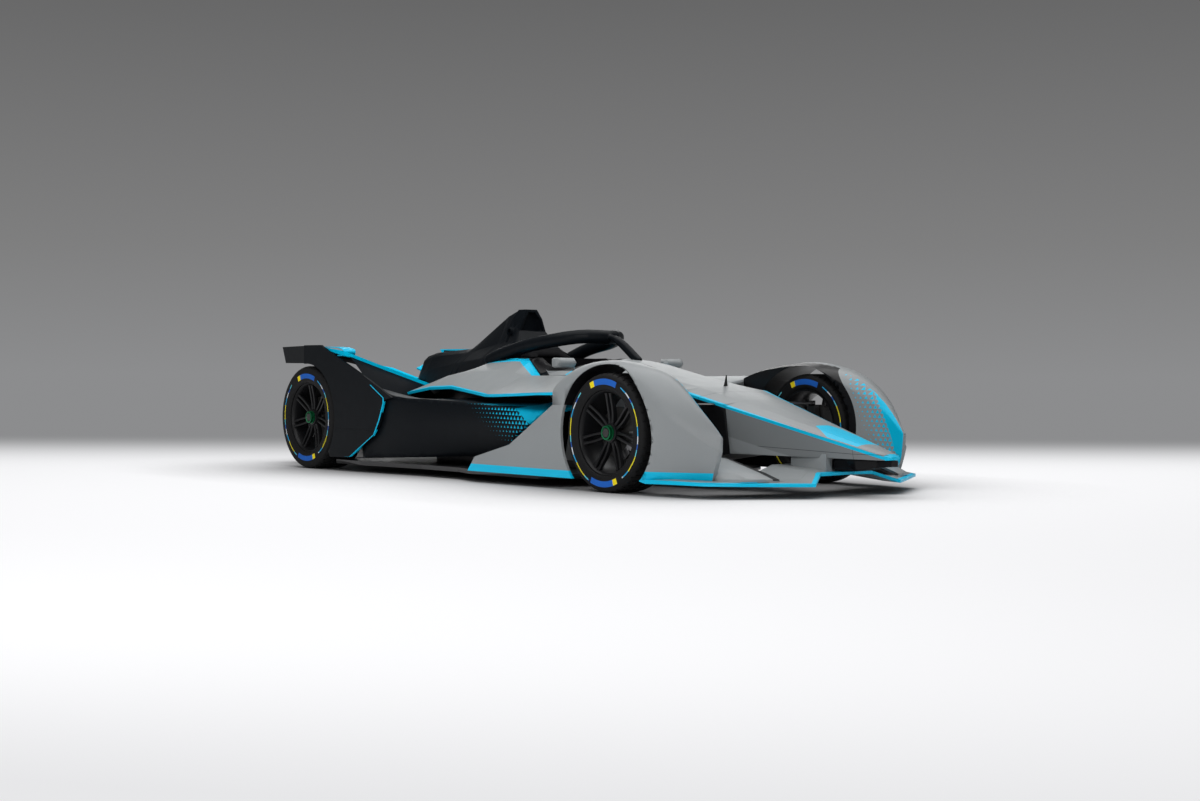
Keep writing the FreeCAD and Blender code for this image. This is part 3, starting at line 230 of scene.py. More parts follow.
# Materials, one node at a time
class Bench:
    """A node tree, with its nodes added one step at a time."""

    def __init__(self, tree):
        self.tree = tree
        tree.nodes.clear()

    def add(self, kind, **settings):
        node = self.tree.nodes.new(kind)
        for name, value in settings.items():
            setattr(node, name, value)
        return node

    def join(self, value, socket):
        """Links another socket to this one, or writes a plain value into it."""
        if isinstance(value, bpy.types.NodeSocket):
            self.tree.links.new(value, socket)
        else:
            socket.default_value = value

    def feed(self, node, *values):
        """Joins values to a node's inputs in order, and gives its first output."""
        for value, socket in zip(values, node.inputs):
            self.join(value, socket)
        return node.outputs[0]

    def calc(self, operation, *values, clamp=False):
        return self.feed(self.add("ShaderNodeMath", operation=operation, use_clamp=clamp), *values)

    def plus(self, a, b):
        return self.calc("ADD", a, b)

    def minus(self, a, b):
        return self.calc("SUBTRACT", a, b)

    def times(self, a, b):
        return self.calc("MULTIPLY", a, b)

    def size_of(self, a):
        return self.calc("ABSOLUTE", a)

    def at_least(self, a, lowest):
        return self.calc("MAXIMUM", a, lowest)

    def distance(self, a, b):
        return self.calc("SQRT", self.plus(self.times(a, a), self.times(b, b)))

    def both(self, *masks):
        """1 where every mask is 1."""
        result = masks[0]
        for mask in masks[1:]:
            result = self.times(result, mask)
        return result

    def either(self, *masks):
        """1 where any mask is 1."""
        result = masks[0]
        for mask in masks[1:]:
            result = self.at_least(result, mask)
        return result

    def without(self, mask):
        return self.minus(1.0, mask)

    def above(self, value, edge, soft=EDGE_SOFT):
        """1 where value is above edge, with a soft step between."""
        return self.calc("MULTIPLY_ADD", self.minus(value, edge), 1.0 / soft, 0.5, clamp=True)

    def below(self, value, edge, soft=EDGE_SOFT):
        return self.without(self.above(value, edge, soft))

    def within(self, value, low, high, soft=EDGE_SOFT):
        return self.both(self.above(value, low, soft), self.below(value, high, soft))

    def level(self, share, low, high):
        """A number that goes from low to high with share."""
        return self.calc("MULTIPLY_ADD", share, high - low, low)

    def mix(self, share, low, high):
        """A colour that goes from low to high with share."""
        node = self.add("ShaderNodeMix", data_type="RGBA")
        for value, socket in ((share, 0), (low, 6), (high, 7)):
            self.join(value, node.inputs[socket])
        return node.outputs[2]

    def blend(self, share, first, second):
        """A shader that goes from first to second with share."""
        return self.feed(self.add("ShaderNodeMixShader"), share, first, second)

    def shaded(self, kind, colour):
        """A plain shader of one kind in one colour."""
        node = self.add(kind)
        self.join(colour, node.inputs["Color"])
        return node.outputs[0]

    def ramp(self, value, stops, interpolation):
        """A colour read from stops by value."""
        node = self.add("ShaderNodeValToRGB")
        node.color_ramp.interpolation = interpolation
        ends = node.color_ramp.elements
        ends[0].position, ends[0].color = stops[0]
        ends[1].position, ends[1].color = stops[-1]
        for position, colour in stops[1:-1]:
            ends.new(position).color = colour
        return self.feed(node, value)

    def parts(self, vector):
        """A vector's three numbers."""
        node = self.add("ShaderNodeSeparateXYZ")
        self.join(vector, node.inputs[0])
        return tuple(node.outputs)

    def seen_directly(self):
        """1 for what the camera, a mirror or glass shows."""
        light = self.add("ShaderNodeLightPath")
        return self.either(
            light.outputs["Is Camera Ray"], light.outputs["Is Glossy Ray"],
            light.outputs["Is Transmission Ray"])


class Finish(Bench):
    """A procedural material for a piece."""

    def __init__(self, name):
        self.material = bpy.data.materials.new(name)
        self.material.use_nodes = True
        super().__init__(self.material.node_tree)
        self.output = self.add("ShaderNodeOutputMaterial")
        self.shader = self.add("ShaderNodeBsdfPrincipled")
        self.join(self.shader.outputs[0], self.output.inputs["Surface"])

    def set(self, **values):
        """Sets shader sockets by name, with _ for each space."""
        for name, value in values.items():
            self.join(value, self.shader.inputs[name.replace("_", " ")])

    def place(self, centre=(0, 0, 0)):
        """The point's own coordinates from a centre, in metres."""
        self.where = self.add("ShaderNodeTexCoord").outputs["Object"]
        if any(centre):
            mapping = self.add("ShaderNodeMapping")
            mapping.inputs["Location"].default_value = [-value for value in centre]
            self.where = self.feed(mapping, self.where)
        return self.parts(self.where)

    def facing(self):
        """The surface's direction."""
        return self.parts(self.add("ShaderNodeNewGeometry").outputs["True Normal"])

    def outwards(self, y):
        """How far a surface faces away from the car's middle, from -1 to 1."""
        return self.times(self.calc("SIGN", y), self.facing()[1])

    def follow(self, along, points):
        """A value read from straight runs between points, by how far along it is."""
        first, last = points[0][0], points[-1][0]
        heights = [height for _, height in points]
        low, high = min(heights), max(heights)
        share = self.feed(self.add("ShaderNodeMapRange", clamp=True), along, first, last, 0.0, 1.0)
        node = self.add("ShaderNodeFloatCurve")
        curve = node.mapping.curves[0]
        shares = [
            ((x - first) / (last - first), (height - low) / (high - low)) for x, height in points]
        curve.points[0].location = shares[0]
        curve.points[1].location = shares[-1]
        for spot in shares[1:-1]:
            curve.points.new(*spot)
        for point in curve.points:
            point.handle_type = "VECTOR"
        node.mapping.update()
        self.join(share, node.inputs["Value"])
        return self.level(node.outputs[0], low, high)

    def noise(self, scale, detail=2.0):
        node = self.add("ShaderNodeTexNoise")
        for value, socket in ((self.where, "Vector"), (scale, "Scale"), (detail, "Detail")):
            self.join(value, node.inputs[socket])
        return node.outputs["Fac"]

    def bump(self, height, distance, strength):
        """Adds relief over any relief that is there."""
        node = self.add("ShaderNodeBump")
        node.inputs["Strength"].default_value = strength
        node.inputs["Distance"].default_value = distance
        self.join(height, node.inputs["Height"])
        previous = self.shader.inputs["Normal"]
        if previous.is_linked:
            self.join(previous.links[0].from_socket, node.inputs["Normal"])
        self.join(node.outputs[0], previous)

    def triangles(self, along, up, pitch, size):
        """Rows of triangles whose size goes from 0 to 1, and that touch where it is 1."""
        row_height = pitch * ROW_SHARE
        row = self.calc("DIVIDE", up, row_height)
        shift = self.times(self.calc("FLOORED_MODULO", self.calc("FLOOR", row), 2.0), 0.5)
        column = self.plus(self.calc("DIVIDE", along, pitch), shift)
        u, v = (self.minus(self.calc("FRACT", value), 0.5) for value in (column, row))
        foot = self.above(self.plus(v, self.times(size, 0.5)), 0.0, TRIANGLE_SOFT)
        slope = self.plus(self.size_of(u), self.times(v, 0.5))
        return self.both(foot, self.below(slope, self.times(size, 0.25), TRIANGLE_SOFT))


def darker(tone, share):
    """A colour scaled by a share."""
    return [value * share for value in tone[:3]] + [1.0]


def plain_grey(value):
    return (value, value, value, 1.0)


# Mesh tools
def clear_selection():
    if bpy.context.mode != "OBJECT":
        bpy.ops.object.mode_set(mode="OBJECT")
    bpy.ops.object.select_all(action="DESELECT")


def make_active(piece):
    clear_selection()
    piece.select_set(True)
    bpy.context.view_layer.objects.active = piece


def linked(name, data):
    """A new object in the scene with its data."""
    thing = bpy.data.objects.new(name, data)
    bpy.context.scene.collection.objects.link(thing)
    return thing


def settle(piece):
    """Puts a piece's place into its mesh, so that its object sits at the origin."""
    make_active(piece)
    bpy.ops.object.transform_apply(location=True, rotation=True, scale=True)
    return piece


def sealed(piece):
    """Closes a mesh that is being edited: doubled points merged and faces turned outwards."""
    bpy.ops.mesh.select_all(action="SELECT")
    bpy.ops.mesh.remove_doubles(threshold=MERGE)
    bpy.ops.mesh.normals_make_consistent(inside=False)
    bpy.ops.object.mode_set(mode="OBJECT")
    return settle(piece)


def worked(piece, kind, **settings):
    """Adds a modifier with its settings and applies it."""
    make_active(piece)
    modifier = piece.modifiers.new(kind.lower(), kind)
    for name, value in settings.items():
        setattr(modifier, name, value)
    bpy.ops.object.modifier_apply(modifier=modifier.name)
    return piece


def soft_shaded(piece, angle):
    make_active(piece)
    bpy.ops.object.shade_smooth_by_angle(angle=math.radians(angle))
    return piece


def bevelled(piece, width, segments=2):
    """Rounds a piece's edges."""
    return worked(
        piece, "BEVEL", width=width, segments=segments, limit_method="ANGLE",
        angle_limit=math.radians(30))


def hang(piece, body, material):
    """Gives a finished piece its body and its material."""
    piece.data.materials.clear()
    piece.data.materials.append(material)
    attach(piece, body)
    return piece


def smoothed(node, name, angle=32.0):
    """A copy of a CAD node with its triangles joined and its curved faces shaded smooth."""
    piece = linked(name, cad_nodes[node].data.copy())
    make_active(piece)
    bpy.ops.object.mode_set(mode="EDIT")
    bpy.ops.mesh.select_all(action="SELECT")
    bpy.ops.mesh.remove_doubles(threshold=CAD_MERGE)
    bpy.ops.object.mode_set(mode="OBJECT")
    return worked(soft_shaded(piece, angle), "WEIGHTED_NORMAL", keep_sharp=True, weight=75)


def dress(node, material, angle=32.0):
    """Shows a CAD node as a smoothed copy with its finish."""
    piece = smoothed(node, node + "_finish", angle)
    hang(piece, body_of_node[node], material)
    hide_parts(node)


def lathe(name, centre, rings, steps):
    """A turned part: a circle about the axle, extruded from ring to ring of (across, radius)."""
    clear_selection()
    across, radius = rings[0]
    bpy.ops.mesh.primitive_circle_add(
        vertices=steps, radius=radius, location=(centre.x, across, centre.z),
        rotation=(math.pi / 2, 0, 0))
    piece = bpy.context.object
    piece.name = name
    bpy.ops.object.mode_set(mode="EDIT")
    bpy.ops.mesh.select_mode(type="VERT")
    bpy.ops.mesh.select_all(action="SELECT")
    for next_across, next_radius in rings[1:] + rings[:1]:
        bpy.ops.mesh.extrude_region_move(
            TRANSFORM_OT_translate={"value": (0, next_across - across, 0)})
        share = next_radius / radius
        bpy.ops.transform.resize(
            value=(share, 1, share), center_override=(centre.x, next_across, centre.z))
        across, radius = next_across, next_radius
    return sealed(piece)


def sweep_bar(name, stations, sizes):
    """A bar from a plane at the first station, extruded to each next one at its (width, depth)."""
    clear_selection()
    bpy.ops.mesh.primitive_plane_add(size=1.0, location=stations[0])
    piece = bpy.context.object
    piece.name = name
    piece.scale = (*sizes[0], 1.0)
    bpy.ops.object.transform_apply(location=False, rotation=False, scale=True)
    bpy.ops.object.mode_set(mode="EDIT")
    bpy.ops.mesh.select_mode(type="VERT")
    bpy.ops.mesh.select_all(action="SELECT")
    for index in range(1, len(stations)):
        step = Vector(stations[index]) - Vector(stations[index - 1])
        width, depth = (now / before for now, before in zip(sizes[index], sizes[index - 1]))
        bpy.ops.mesh.extrude_region_move(TRANSFORM_OT_translate={"value": tuple(step)})
        bpy.ops.transform.resize(value=(width, depth, 1), center_override=stations[index])
    return sealed(piece)


def copied(piece, name, change):
    """A copy with its own mesh, moved by a matrix and turned right side out."""
    twin = linked(name, piece.data.copy())
    twin.data.transform(change)
    if change.determinant() < 0:
        twin.data.flip_normals()
    return twin


def joined_up(pieces, name):
    """Joins pieces into the first one."""
    clear_selection()
    for piece in pieces:
        piece.select_set(True)
    bpy.context.view_layer.objects.active = pieces[0]
    bpy.ops.object.join()
    pieces[0].name = name
    return pieces[0]


def turned_about(axle, degrees):
    """A turn about a wheel's axle."""
    there = Matrix.Translation(axle)
    return there @ Matrix.Rotation(math.radians(degrees), 4, "Y") @ there.inverted()


def mirrored_across(axle):
    """Fore and aft mirror about a wheel's axle."""
    there = Matrix.Translation((axle.x, 0, 0))
    return there @ Matrix.Scale(-1, 4, (1, 0, 0)) @ there.inverted()


def pressed_in(piece, axle, steps, first_segment, depth, chosen):
    """Sinks the faces that chosen picks by (face, reach, place across, segment round the axle)."""
    make_active(piece)
    bpy.ops.object.mode_set(mode="EDIT")
    bpy.ops.mesh.select_all(action="DESELECT")
    bpy.ops.mesh.select_mode(type="FACE")
    mesh = bmesh.from_edit_mesh(piece.data)
    for face in mesh.faces:
        centre = face.calc_center_median()
        ahead, up = centre.x - axle.x, centre.z - axle.z
        segment = int(math.degrees(math.atan2(ahead, up)) / 360 * steps + first_segment)
        face.select = chosen(face, math.hypot(ahead, up), centre.y, segment)
    bmesh.update_edit_mesh(piece.data)
    bpy.ops.mesh.extrude_region_shrink_fatten(
        MESH_OT_extrude_region={}, TRANSFORM_OT_shrink_fatten={"value": -depth})
    bpy.ops.object.mode_set(mode="OBJECT")
    return soft_shaded(piece, 30)


def moulded(piece, cell, passes):
    """Turns a faceted copy into one even skin, and relaxes it so that its facets blend."""
    worked(piece, "REMESH", mode="VOXEL", voxel_size=cell)
    worked(piece, "SMOOTH", factor=0.5, iterations=passes)
    bpy.ops.object.shade_smooth()
    return piece


def curve_piece(name, points, **settings):
    """A smooth curve through points."""
    clear_selection()
    curve = bpy.data.curves.new(name, "CURVE")
    for setting, value in settings.items():
        setattr(curve, setting, value)
    line = curve.splines.new("BEZIER")
    line.bezier_points.add(len(points) - 1)
    for point, place in zip(line.bezier_points, points):
        point.co = place
        point.handle_left_type = point.handle_right_type = "AUTO"
    line.resolution_u = CURVE_STEPS
    return linked(name, curve)


def ribbon(name, path, width, thick, across):
    """A strap: a side view of (along, height) points, with its width across the car and a wall."""
    piece = curve_piece(name, [(x, z, 0) for x, z in path], dimensions="2D", extrude=width / 2)
    piece.rotation_euler = (math.pi / 2, 0, 0)
    piece.location = (0, across, 0)
    make_active(piece)
    bpy.ops.object.convert(target="MESH")
    settle(piece)
    return soft_shaded(worked(piece, "SOLIDIFY", thickness=thick, offset=0), 50)


def rod(name, path, radius):
    """A round bar along a path of points, with closed ends."""
    piece = curve_piece(
        name, path, dimensions="3D", bevel_depth=radius, bevel_resolution=5, use_fill_caps=True)
    make_active(piece)
    bpy.ops.object.convert(target="MESH")
    bpy.ops.object.mode_set(mode="EDIT")
    return soft_shaded(sealed(piece), 50)


def block(name, centre, size, round_off):
    """A small housing: a box at its size and place whose edges are rounded off."""
    clear_selection()
    bpy.ops.mesh.primitive_cube_add(size=1.0, location=centre, scale=size)
    piece = settle(bpy.context.object)
    piece.name = name
    return soft_shaded(bevelled(piece, round_off, 3), 40)


def button(name, centre, radius, height):
    """A round button with a domed top, lying along x."""
    clear_selection()
    bpy.ops.mesh.primitive_cylinder_add(vertices=20, radius=radius, depth=height)
    piece = bpy.context.object
    piece.name = name
    soft_shaded(bevelled(piece, min(radius, height) * 0.4, 3), 40)
    piece.data.transform(Matrix.Translation(centre) @ Matrix.Rotation(math.pi / 2, 4, "Y"))
    return piece


def fattened(piece, depth):
    """Swells a piece evenly along its own surface."""
    make_active(piece)
    bpy.ops.object.mode_set(mode="EDIT")
    bpy.ops.mesh.select_all(action="SELECT")
    bpy.ops.transform.shrink_fatten(value=depth)
    bpy.ops.object.mode_set(mode="OBJECT")
    return piece


def stuffed(node, name, cell, cap):
    """A padded piece: an even skin over the CAD form, blown up as cloth by no more than a cap."""
    piece = moulded(smoothed(node, name, 60), cell, 6)
    rest = [vertex.co.copy() for vertex in piece.data.vertices]
    make_active(piece)
    fabric = piece.modifiers.new("fabric", "CLOTH")
    fabric.settings.use_pressure = True
    fabric.settings.uniform_pressure_force = 4.0
    fabric.settings.effector_weights.gravity = 0.0
    fabric.point_cache.frame_start = 1
    fabric.point_cache.frame_end = CLOTH_FRAMES
    for step in range(1, CLOTH_FRAMES + 1):
        bpy.context.scene.frame_set(step)
    bpy.ops.object.modifier_apply(modifier=fabric.name)
    bpy.context.scene.frame_set(1)
    for vertex, start in zip(piece.data.vertices, rest):
        way = vertex.co - start
        if way.length > cap:
            vertex.co = start + way * (cap / way.length)
    worked(piece, "SMOOTH", iterations=3)
    bpy.ops.object.shade_smooth()
    return piece


# Paint
def begin_paint(name):
    """A new finish, the paint's settings and the point's coordinates."""
    finish = Finish(name)
    return finish, bpy.context.scene.racing_paint, finish.place()


def paint_skin(finish, colour, rough=0.38, shine=0.17):
    """Satin paint over carbon: slight shade change, fine peel and a faint lacquer."""
    broad = finish.noise(3.0, 3.0)
    fine = finish.noise(900.0, 1.0)
    finish.set(
        Base_Color=finish.mix(finish.level(broad, 0.0, 0.10), colour, BLACK),
        Roughness=finish.level(finish.noise(14.0, 4.0), rough - 0.05, rough + 0.07),
        Specular_IOR_Level=shine, Coat_Weight=0.03, Coat_Roughness=0.20)
    finish.bump(fine, 0.00006, 0.35)
    return finish.material


def jointed(finish, colour, seam, shade, depth, strength):
    """Darkens and sinks a panel joint."""
    finish.bump(finish.without(seam), depth, strength)
    return finish.mix(finish.times(seam, shade), colour, BLACK)


def growing_triangles(finish, x, z, size, full):
    """Triangles that grow with size, and close into one tone where it passes full."""
    pitch = bpy.context.scene.racing_paint.triangle
    return finish.either(
        finish.triangles(x, z, pitch, size), finish.above(size, full, FACING_SOFT))


def slanted_marks(finish, x, y, z):
    """The accent band that falls from the shoulder's top, the black one ahead, and what is aft."""
    foot, reach, inner = 0.6235, 0.30, 0.20
    out = finish.size_of(y)
    across = finish.minus(finish.times(x, MARK_ALONG), finish.times(out, MARK_ACROSS))
    drop = finish.minus(SHOULDER_TOP[-1][1], z)
    back, middle, front = (
        finish.plus(finish.times(drop, slope), start) for slope, start in MARK_EDGES)
    zone = finish.both(
        finish.above(z, foot), finish.within(x, -reach, reach), finish.above(out, inner))
    band = finish.both(zone, finish.above(across, back), finish.below(across, middle))
    mark = finish.both(zone, finish.above(across, middle), finish.below(across, front))
    return band, mark, finish.below(across, back)


def tub_paint():
    """Grey tub: the line under the chine, the band round the cockpit and its slanted marks, with
    flanks darkened by painted shade and painted near-black shade ahead of the cockpit.
    """
    flank_inset, rail_inset, opening_inset = 0.030, 0.055, 0.052
    rail_start, rail_end, opening_start, opening_end = 0.30, 1.02, -0.42, 0.50
    dark_front, dark_foot, recess_start, under_height = 0.20, 0.45, 0.95, 0.10
    nose_joint, side_joint, side_joint_start, joint_width = 1.4255, 0.262, 1.2, 0.002
    line_rise = 0.0045
    finish, tones, (x, y, z) = begin_paint("tub_paint")
    out = finish.size_of(y)
    height = finish.minus(z, finish.follow(x, CHINE))
    edge = finish.follow(x, CHINE_HALF_WIDTH)
    side = finish.above(out, finish.minus(edge, flank_inset))
    forward = finish.above(x, CHINE[0][0])
    under_line = finish.below(height, -tones.line)
    line = finish.both(side, forward, finish.within(height, -tones.line, line_rise))
    rail = finish.both(
        finish.within(out, finish.minus(edge, rail_inset), edge),
        finish.within(x, rail_start, rail_end), finish.above(height, -tones.line))
    swoosh, black_mark, aft = slanted_marks(finish, x, y, z)
    behind = finish.both(aft, finish.above(z, dark_foot), finish.below(x, dark_front))
    # Painted shade: below the chine and ahead of the cockpit, where the tub lies between the
    # fairings, it is painted near-black
    recess_shade = finish.both(under_line, finish.above(x, recess_start))
    opening = finish.both(
        finish.below(out, finish.minus(edge, opening_inset)),
        finish.within(x, opening_start, opening_end))
    # Painted shade: the flanks below the chine take a darker copy of the grey
    colour = finish.mix(
        finish.both(side, under_line, forward), tones.grey, darker(tones.grey, tones.flank))
    for mask, tone in (
            (behind, tones.dark), (recess_shade, NEAR_BLACK),
            (finish.either(line, rail, swoosh), tones.accent),
            (finish.either(opening, black_mark), NEAR_BLACK),
            (finish.below(z, under_height), UNDERSIDE)):
        colour = finish.mix(mask, colour, tone)
    seam = finish.either(
        finish.within(x, nose_joint, nose_joint + joint_width),
        finish.both(
            finish.within(z, side_joint, side_joint + joint_width),
            finish.above(x, side_joint_start)))
    return paint_skin(finish, jointed(finish, colour, seam, 0.75, 0.001, 0.5))


def nose_paint():
    """Grey nose: flanks darkened with painted shade, panel joints, the line round its tip and the
    accent patch.
    """
    flank_inset, patch_inset, patch_start, patch_end = 0.022, 0.004, 2.070, 2.395
    corner_start, corner_slope, tip_start, tip_drop = 0.055, 2.2, 2.552, 0.030
    tip_joint, rear_joint, joint_half, line_rise = 2.3690, 1.42875, 0.0012, 0.0040
    finish, tones, (x, y, z) = begin_paint("nose_paint")
    out = finish.size_of(y)
    height = finish.minus(z, finish.follow(x, CHINE))
    edge = finish.follow(x, CHINE_HALF_WIDTH)
    side = finish.above(out, finish.minus(edge, flank_inset))
    corner = finish.at_least(finish.minus(out, corner_start), 0.0)
    patch = finish.both(
        finish.within(x, finish.plus(patch_start, finish.times(corner, corner_slope)), patch_end),
        finish.below(out, finish.minus(edge, patch_inset)), finish.above(height, -patch_inset))
    line = finish.both(side, finish.within(height, -tones.line, line_rise))
    tip = finish.both(finish.above(x, tip_start), finish.above(height, -tip_drop))
    # Painted shade: the flanks below the chine take a darker copy of the grey
    colour = finish.mix(
        finish.both(side, finish.below(height, -tones.line)),
        tones.grey, darker(tones.grey, tones.flank))
    colour = finish.mix(finish.either(patch, line, tip), colour, tones.accent)
    panel = finish.minus(z, finish.follow(x, NOSE_PANEL))
    seam = finish.either(
        finish.both(finish.within(panel, -joint_half, joint_half), side),
        finish.both(
            finish.within(x, tip_joint - 0.001, tip_joint + 0.001), side,
            finish.below(height, -0.012)),
        finish.within(x, rear_joint - 0.00125, rear_joint + 0.00125))
    colour = jointed(finish, colour, seam, 0.8, 0.0012, 0.5)
    return paint_skin(finish, finish.mix(finish.below(z, 0.150), colour, UNDERSIDE))


def fairing_paint():
    """Grey wheel fairing: accent hem, dark arch, and triangles inside that grow to its prow."""
    pattern_start, pattern_rear, prow_start, first_size = 1.53, 1.42, 1.80, 1.04
    hem_inner, ridge_gap, inner_facing, lining_facing = 0.55, 0.014, -0.35, 0.30
    finish, tones, (x, y, z) = begin_paint("fairing_paint")
    out, outwards = finish.size_of(y), finish.outwards(y)
    hem = finish.both(
        finish.below(z, finish.follow(x, FAIRING_HEM)), finish.above(out, hem_inner),
        finish.above(outwards, 0.1))
    inside = finish.minus(finish.follow(x, FAIRING_RIDGE), out)
    drop = finish.at_least(finish.minus(finish.follow(x, FAIRING_RIDGE_TOP), z), 0.0)
    fall = finish.plus(
        finish.times(drop, 0.7), finish.at_least(finish.times(inside, 0.9), 0.0))
    room = finish.at_least(
        finish.plus(finish.times(finish.minus(x, pattern_start), 1.10), 0.02), 0.02)
    near_prow = finish.times(finish.at_least(finish.minus(x, prow_start), 0.0), 1.1)
    size = finish.calc(
        "SUBTRACT", finish.plus(near_prow, first_size), finish.calc("DIVIDE", fall, room),
        clamp=True)
    prow = finish.both(
        finish.above(inside, ridge_gap), growing_triangles(finish, x, z, size, 0.94),
        finish.above(x, pattern_rear), finish.below(outwards, inner_facing, FACING_SOFT))
    colour = finish.mix(finish.either(hem, prow), tones.grey, tones.accent)
    ahead, up = finish.minus(x, FRONT_AXLE.x), finish.minus(z, FRONT_AXLE.z)
    reach = finish.distance(ahead, up)
    normal_x, _, normal_z = finish.facing()
    leaving = finish.calc(
        "DIVIDE", finish.plus(finish.times(normal_x, ahead), finish.times(normal_z, up)),
        finish.at_least(reach, 0.05))
    lining = finish.both(
        finish.below(outwards, lining_facing, FACING_SOFT),
        finish.below(leaving, lining_facing, FACING_SOFT))
    arch = finish.both(
        finish.below(reach, finish.follow(x, ARCH_REACH)),
        finish.either(finish.below(outwards, -0.12, FACING_SOFT), lining))
    return paint_skin(finish, finish.mix(arch, colour, NEAR_BLACK))


def side_panel_paint():
    """Grey panel behind the front wheel, with an accent hem and a black inner face."""
    finish, tones, (x, y, z) = begin_paint("side_panel_paint")
    hem = finish.below(z, finish.follow(x, SIDE_PANEL_HEM))
    inner = finish.below(finish.outwards(y), -0.3, FACING_SOFT)
    colour = finish.mix(hem, tones.grey, tones.accent)
    return paint_skin(finish, finish.mix(inner, colour, NEAR_BLACK))


def shoulder_paint():
    """Grey shoulder between the two accent lines, with the slanted marks at its front top."""
    finish, tones, (x, y, z) = begin_paint("shoulder_paint")
    top = finish.minus(finish.follow(x, SHOULDER_TOP), finish.follow(x, SHOULDER_TOP_LINE))
    hem = finish.plus(finish.follow(x, SHOULDER_HEM), finish.follow(x, SHOULDER_HEM_LINE))
    upper = finish.both(finish.above(z, top), finish.below(x, -0.08))
    swoosh, mark, _ = slanted_marks(finish, x, y, z)
    colour = finish.mix(
        finish.either(upper, finish.below(z, hem), swoosh), tones.grey, tones.accent)
    return paint_skin(finish, finish.mix(mark, colour, NEAR_BLACK))


def pod_paint():
    """Blue-black sidepod with accent triangles that are solid at the lip and fade back and down,
    and the intake's inside painted black as shade.
    """
    lip, fade_height, fade_back, fade_down, first_size = 0.420, 0.475, 2.05, 2.9, 1.26
    pattern_inner, pattern_end, mouth_half_width = 0.42, -0.33, 0.60
    finish, tones, (x, y, z) = begin_paint("pod_paint")
    out = finish.size_of(y)
    fade = finish.plus(
        finish.times(finish.minus(lip, x), fade_back),
        finish.times(finish.at_least(finish.minus(fade_height, z), 0.0), fade_down))
    size = finish.calc("SUBTRACT", first_size, fade, clamp=True)
    front = finish.both(
        growing_triangles(finish, x, z, size, 0.93), finish.above(out, pattern_inner),
        finish.above(x, pattern_end))
    # Painted shade: the inside of the intake is painted black
    mouth_shade = finish.both(
        finish.within(x, 0.15, 0.40), finish.below(out, mouth_half_width),
        finish.within(z, 0.17, 0.41))
    colour = finish.mix(front, tones.dark, tones.accent)
    return paint_skin(finish, finish.mix(mouth_shade, colour, BLACK), *DARK_SKIN)


def deflector_paint():
    """Blue-black rear deflector: thin accent line and panel joint outside, accent tip inside."""
    plate_face, line_width, line_foot, line_top = 0.872, 0.013, 0.095, 0.560
    tip_foot, tip_front = 0.774, -1.95
    finish, tones, (x, y, z) = begin_paint("deflector_paint")
    plate = finish.above(finish.size_of(y), plate_face)
    from_line = finish.minus(finish.follow(z, DEFLECTOR_LINE), x)
    stripe = finish.both(
        plate, finish.within(from_line, 0.0, line_width), finish.within(z, line_foot, line_top))
    joint = finish.both(plate, finish.within(z, 0.2745, 0.2765), finish.within(x, -1.42, -0.96))
    tip = finish.both(
        finish.above(z, tip_foot), finish.below(x, tip_front),
        finish.below(finish.outwards(y), -0.3, FACING_SOFT))
    colour = finish.mix(finish.either(stripe, tip), tones.dark, tones.accent)
    return paint_skin(finish, jointed(finish, colour, joint, 0.7, 0.0012, 0.6), *DARK_SKIN)


def rear_wing_paint():
    """Blue-black rear wing with an accent leading edge, tips and root."""
    rim_width, tip_inner, tip_rear, root_outer, root_foot = 0.026, 0.845, -1.62, 0.34, 0.60
    finish, tones, (x, y, z) = begin_paint("rear_wing_paint")
    out = finish.size_of(y)
    rim = finish.above(x, finish.minus(finish.follow(out, REAR_WING_LEAD), rim_width))
    tips = finish.both(finish.above(out, tip_inner), finish.above(x, tip_rear))
    root = finish.both(finish.below(out, root_outer), finish.above(z, root_foot))
    colour = finish.mix(finish.either(rim, tips, root), tones.dark, tones.accent)
    return paint_skin(finish, colour, 0.70, 0.0)


def cover_paint():
    """Blue-black engine cover with its two panel joints."""
    finish, tones, (x, _, _) = begin_paint("cover_paint")
    joint = finish.either(*(
        finish.within(x, start, start + 0.0020) for start in (-0.7815, -1.4615)))
    return paint_skin(finish, jointed(finish, tones.dark, joint, 0.7, 0.0012, 0.6), *DARK_SKIN)


def front_wing_paint():
    """Grey front wing with an accent leading edge, and a flap behind it with a black edge."""
    rim_width, step_rear, step_top, tip_inner, tip_top = 0.030, 2.225, 0.150, 0.855, 0.112
    flap_front, flap_foot, flap_inner, fence_foot = 1.835, 0.128, 0.42, 0.092
    finish, tones, (x, y, z) = begin_paint("front_wing_paint")
    out = finish.size_of(y)
    rim = finish.both(
        finish.above(x, finish.minus(finish.follow(out, FRONT_WING_LEAD), rim_width)),
        finish.below(z, finish.follow(out, FRONT_WING_TOP)))
    step = finish.both(
        finish.within(out, 0.198, 0.222), finish.above(x, step_rear), finish.below(z, step_top))
    tip = finish.both(finish.above(out, tip_inner), finish.below(z, tip_top))
    flap_edge = finish.both(
        finish.below(x, flap_front, 0.002), finish.above(z, flap_foot),
        finish.above(out, flap_inner))
    fence = finish.both(finish.within(out, 0.430, 0.480), finish.above(z, fence_foot))
    colour = finish.mix(finish.either(rim, step, tip), tones.grey, tones.accent)
    return paint_skin(finish, finish.mix(finish.either(flap_edge, fence), colour, WING_BLACK))


def pylon_paint():
    """Grey blocks that carry the front wing, and the near-black keel between them and the tip."""
    keel_half_width, block_foot, block_top, block_front = 0.045, 0.112, 0.30, 2.2145
    finish, tones, (x, y, z) = begin_paint("pylon_paint")
    blocks = finish.both(
        finish.above(finish.size_of(y), keel_half_width),
        finish.within(z, block_foot, block_top), finish.below(x, block_front))
    return paint_skin(finish, finish.mix(blocks, WING_BLACK, tones.grey))


def plain_paint(name, tone, *skin):
    """Paint of one tone all over, with its roughness and shine."""
    finish, tones, _ = begin_paint(name)
    return paint_skin(finish, getattr(tones, tone), *skin)


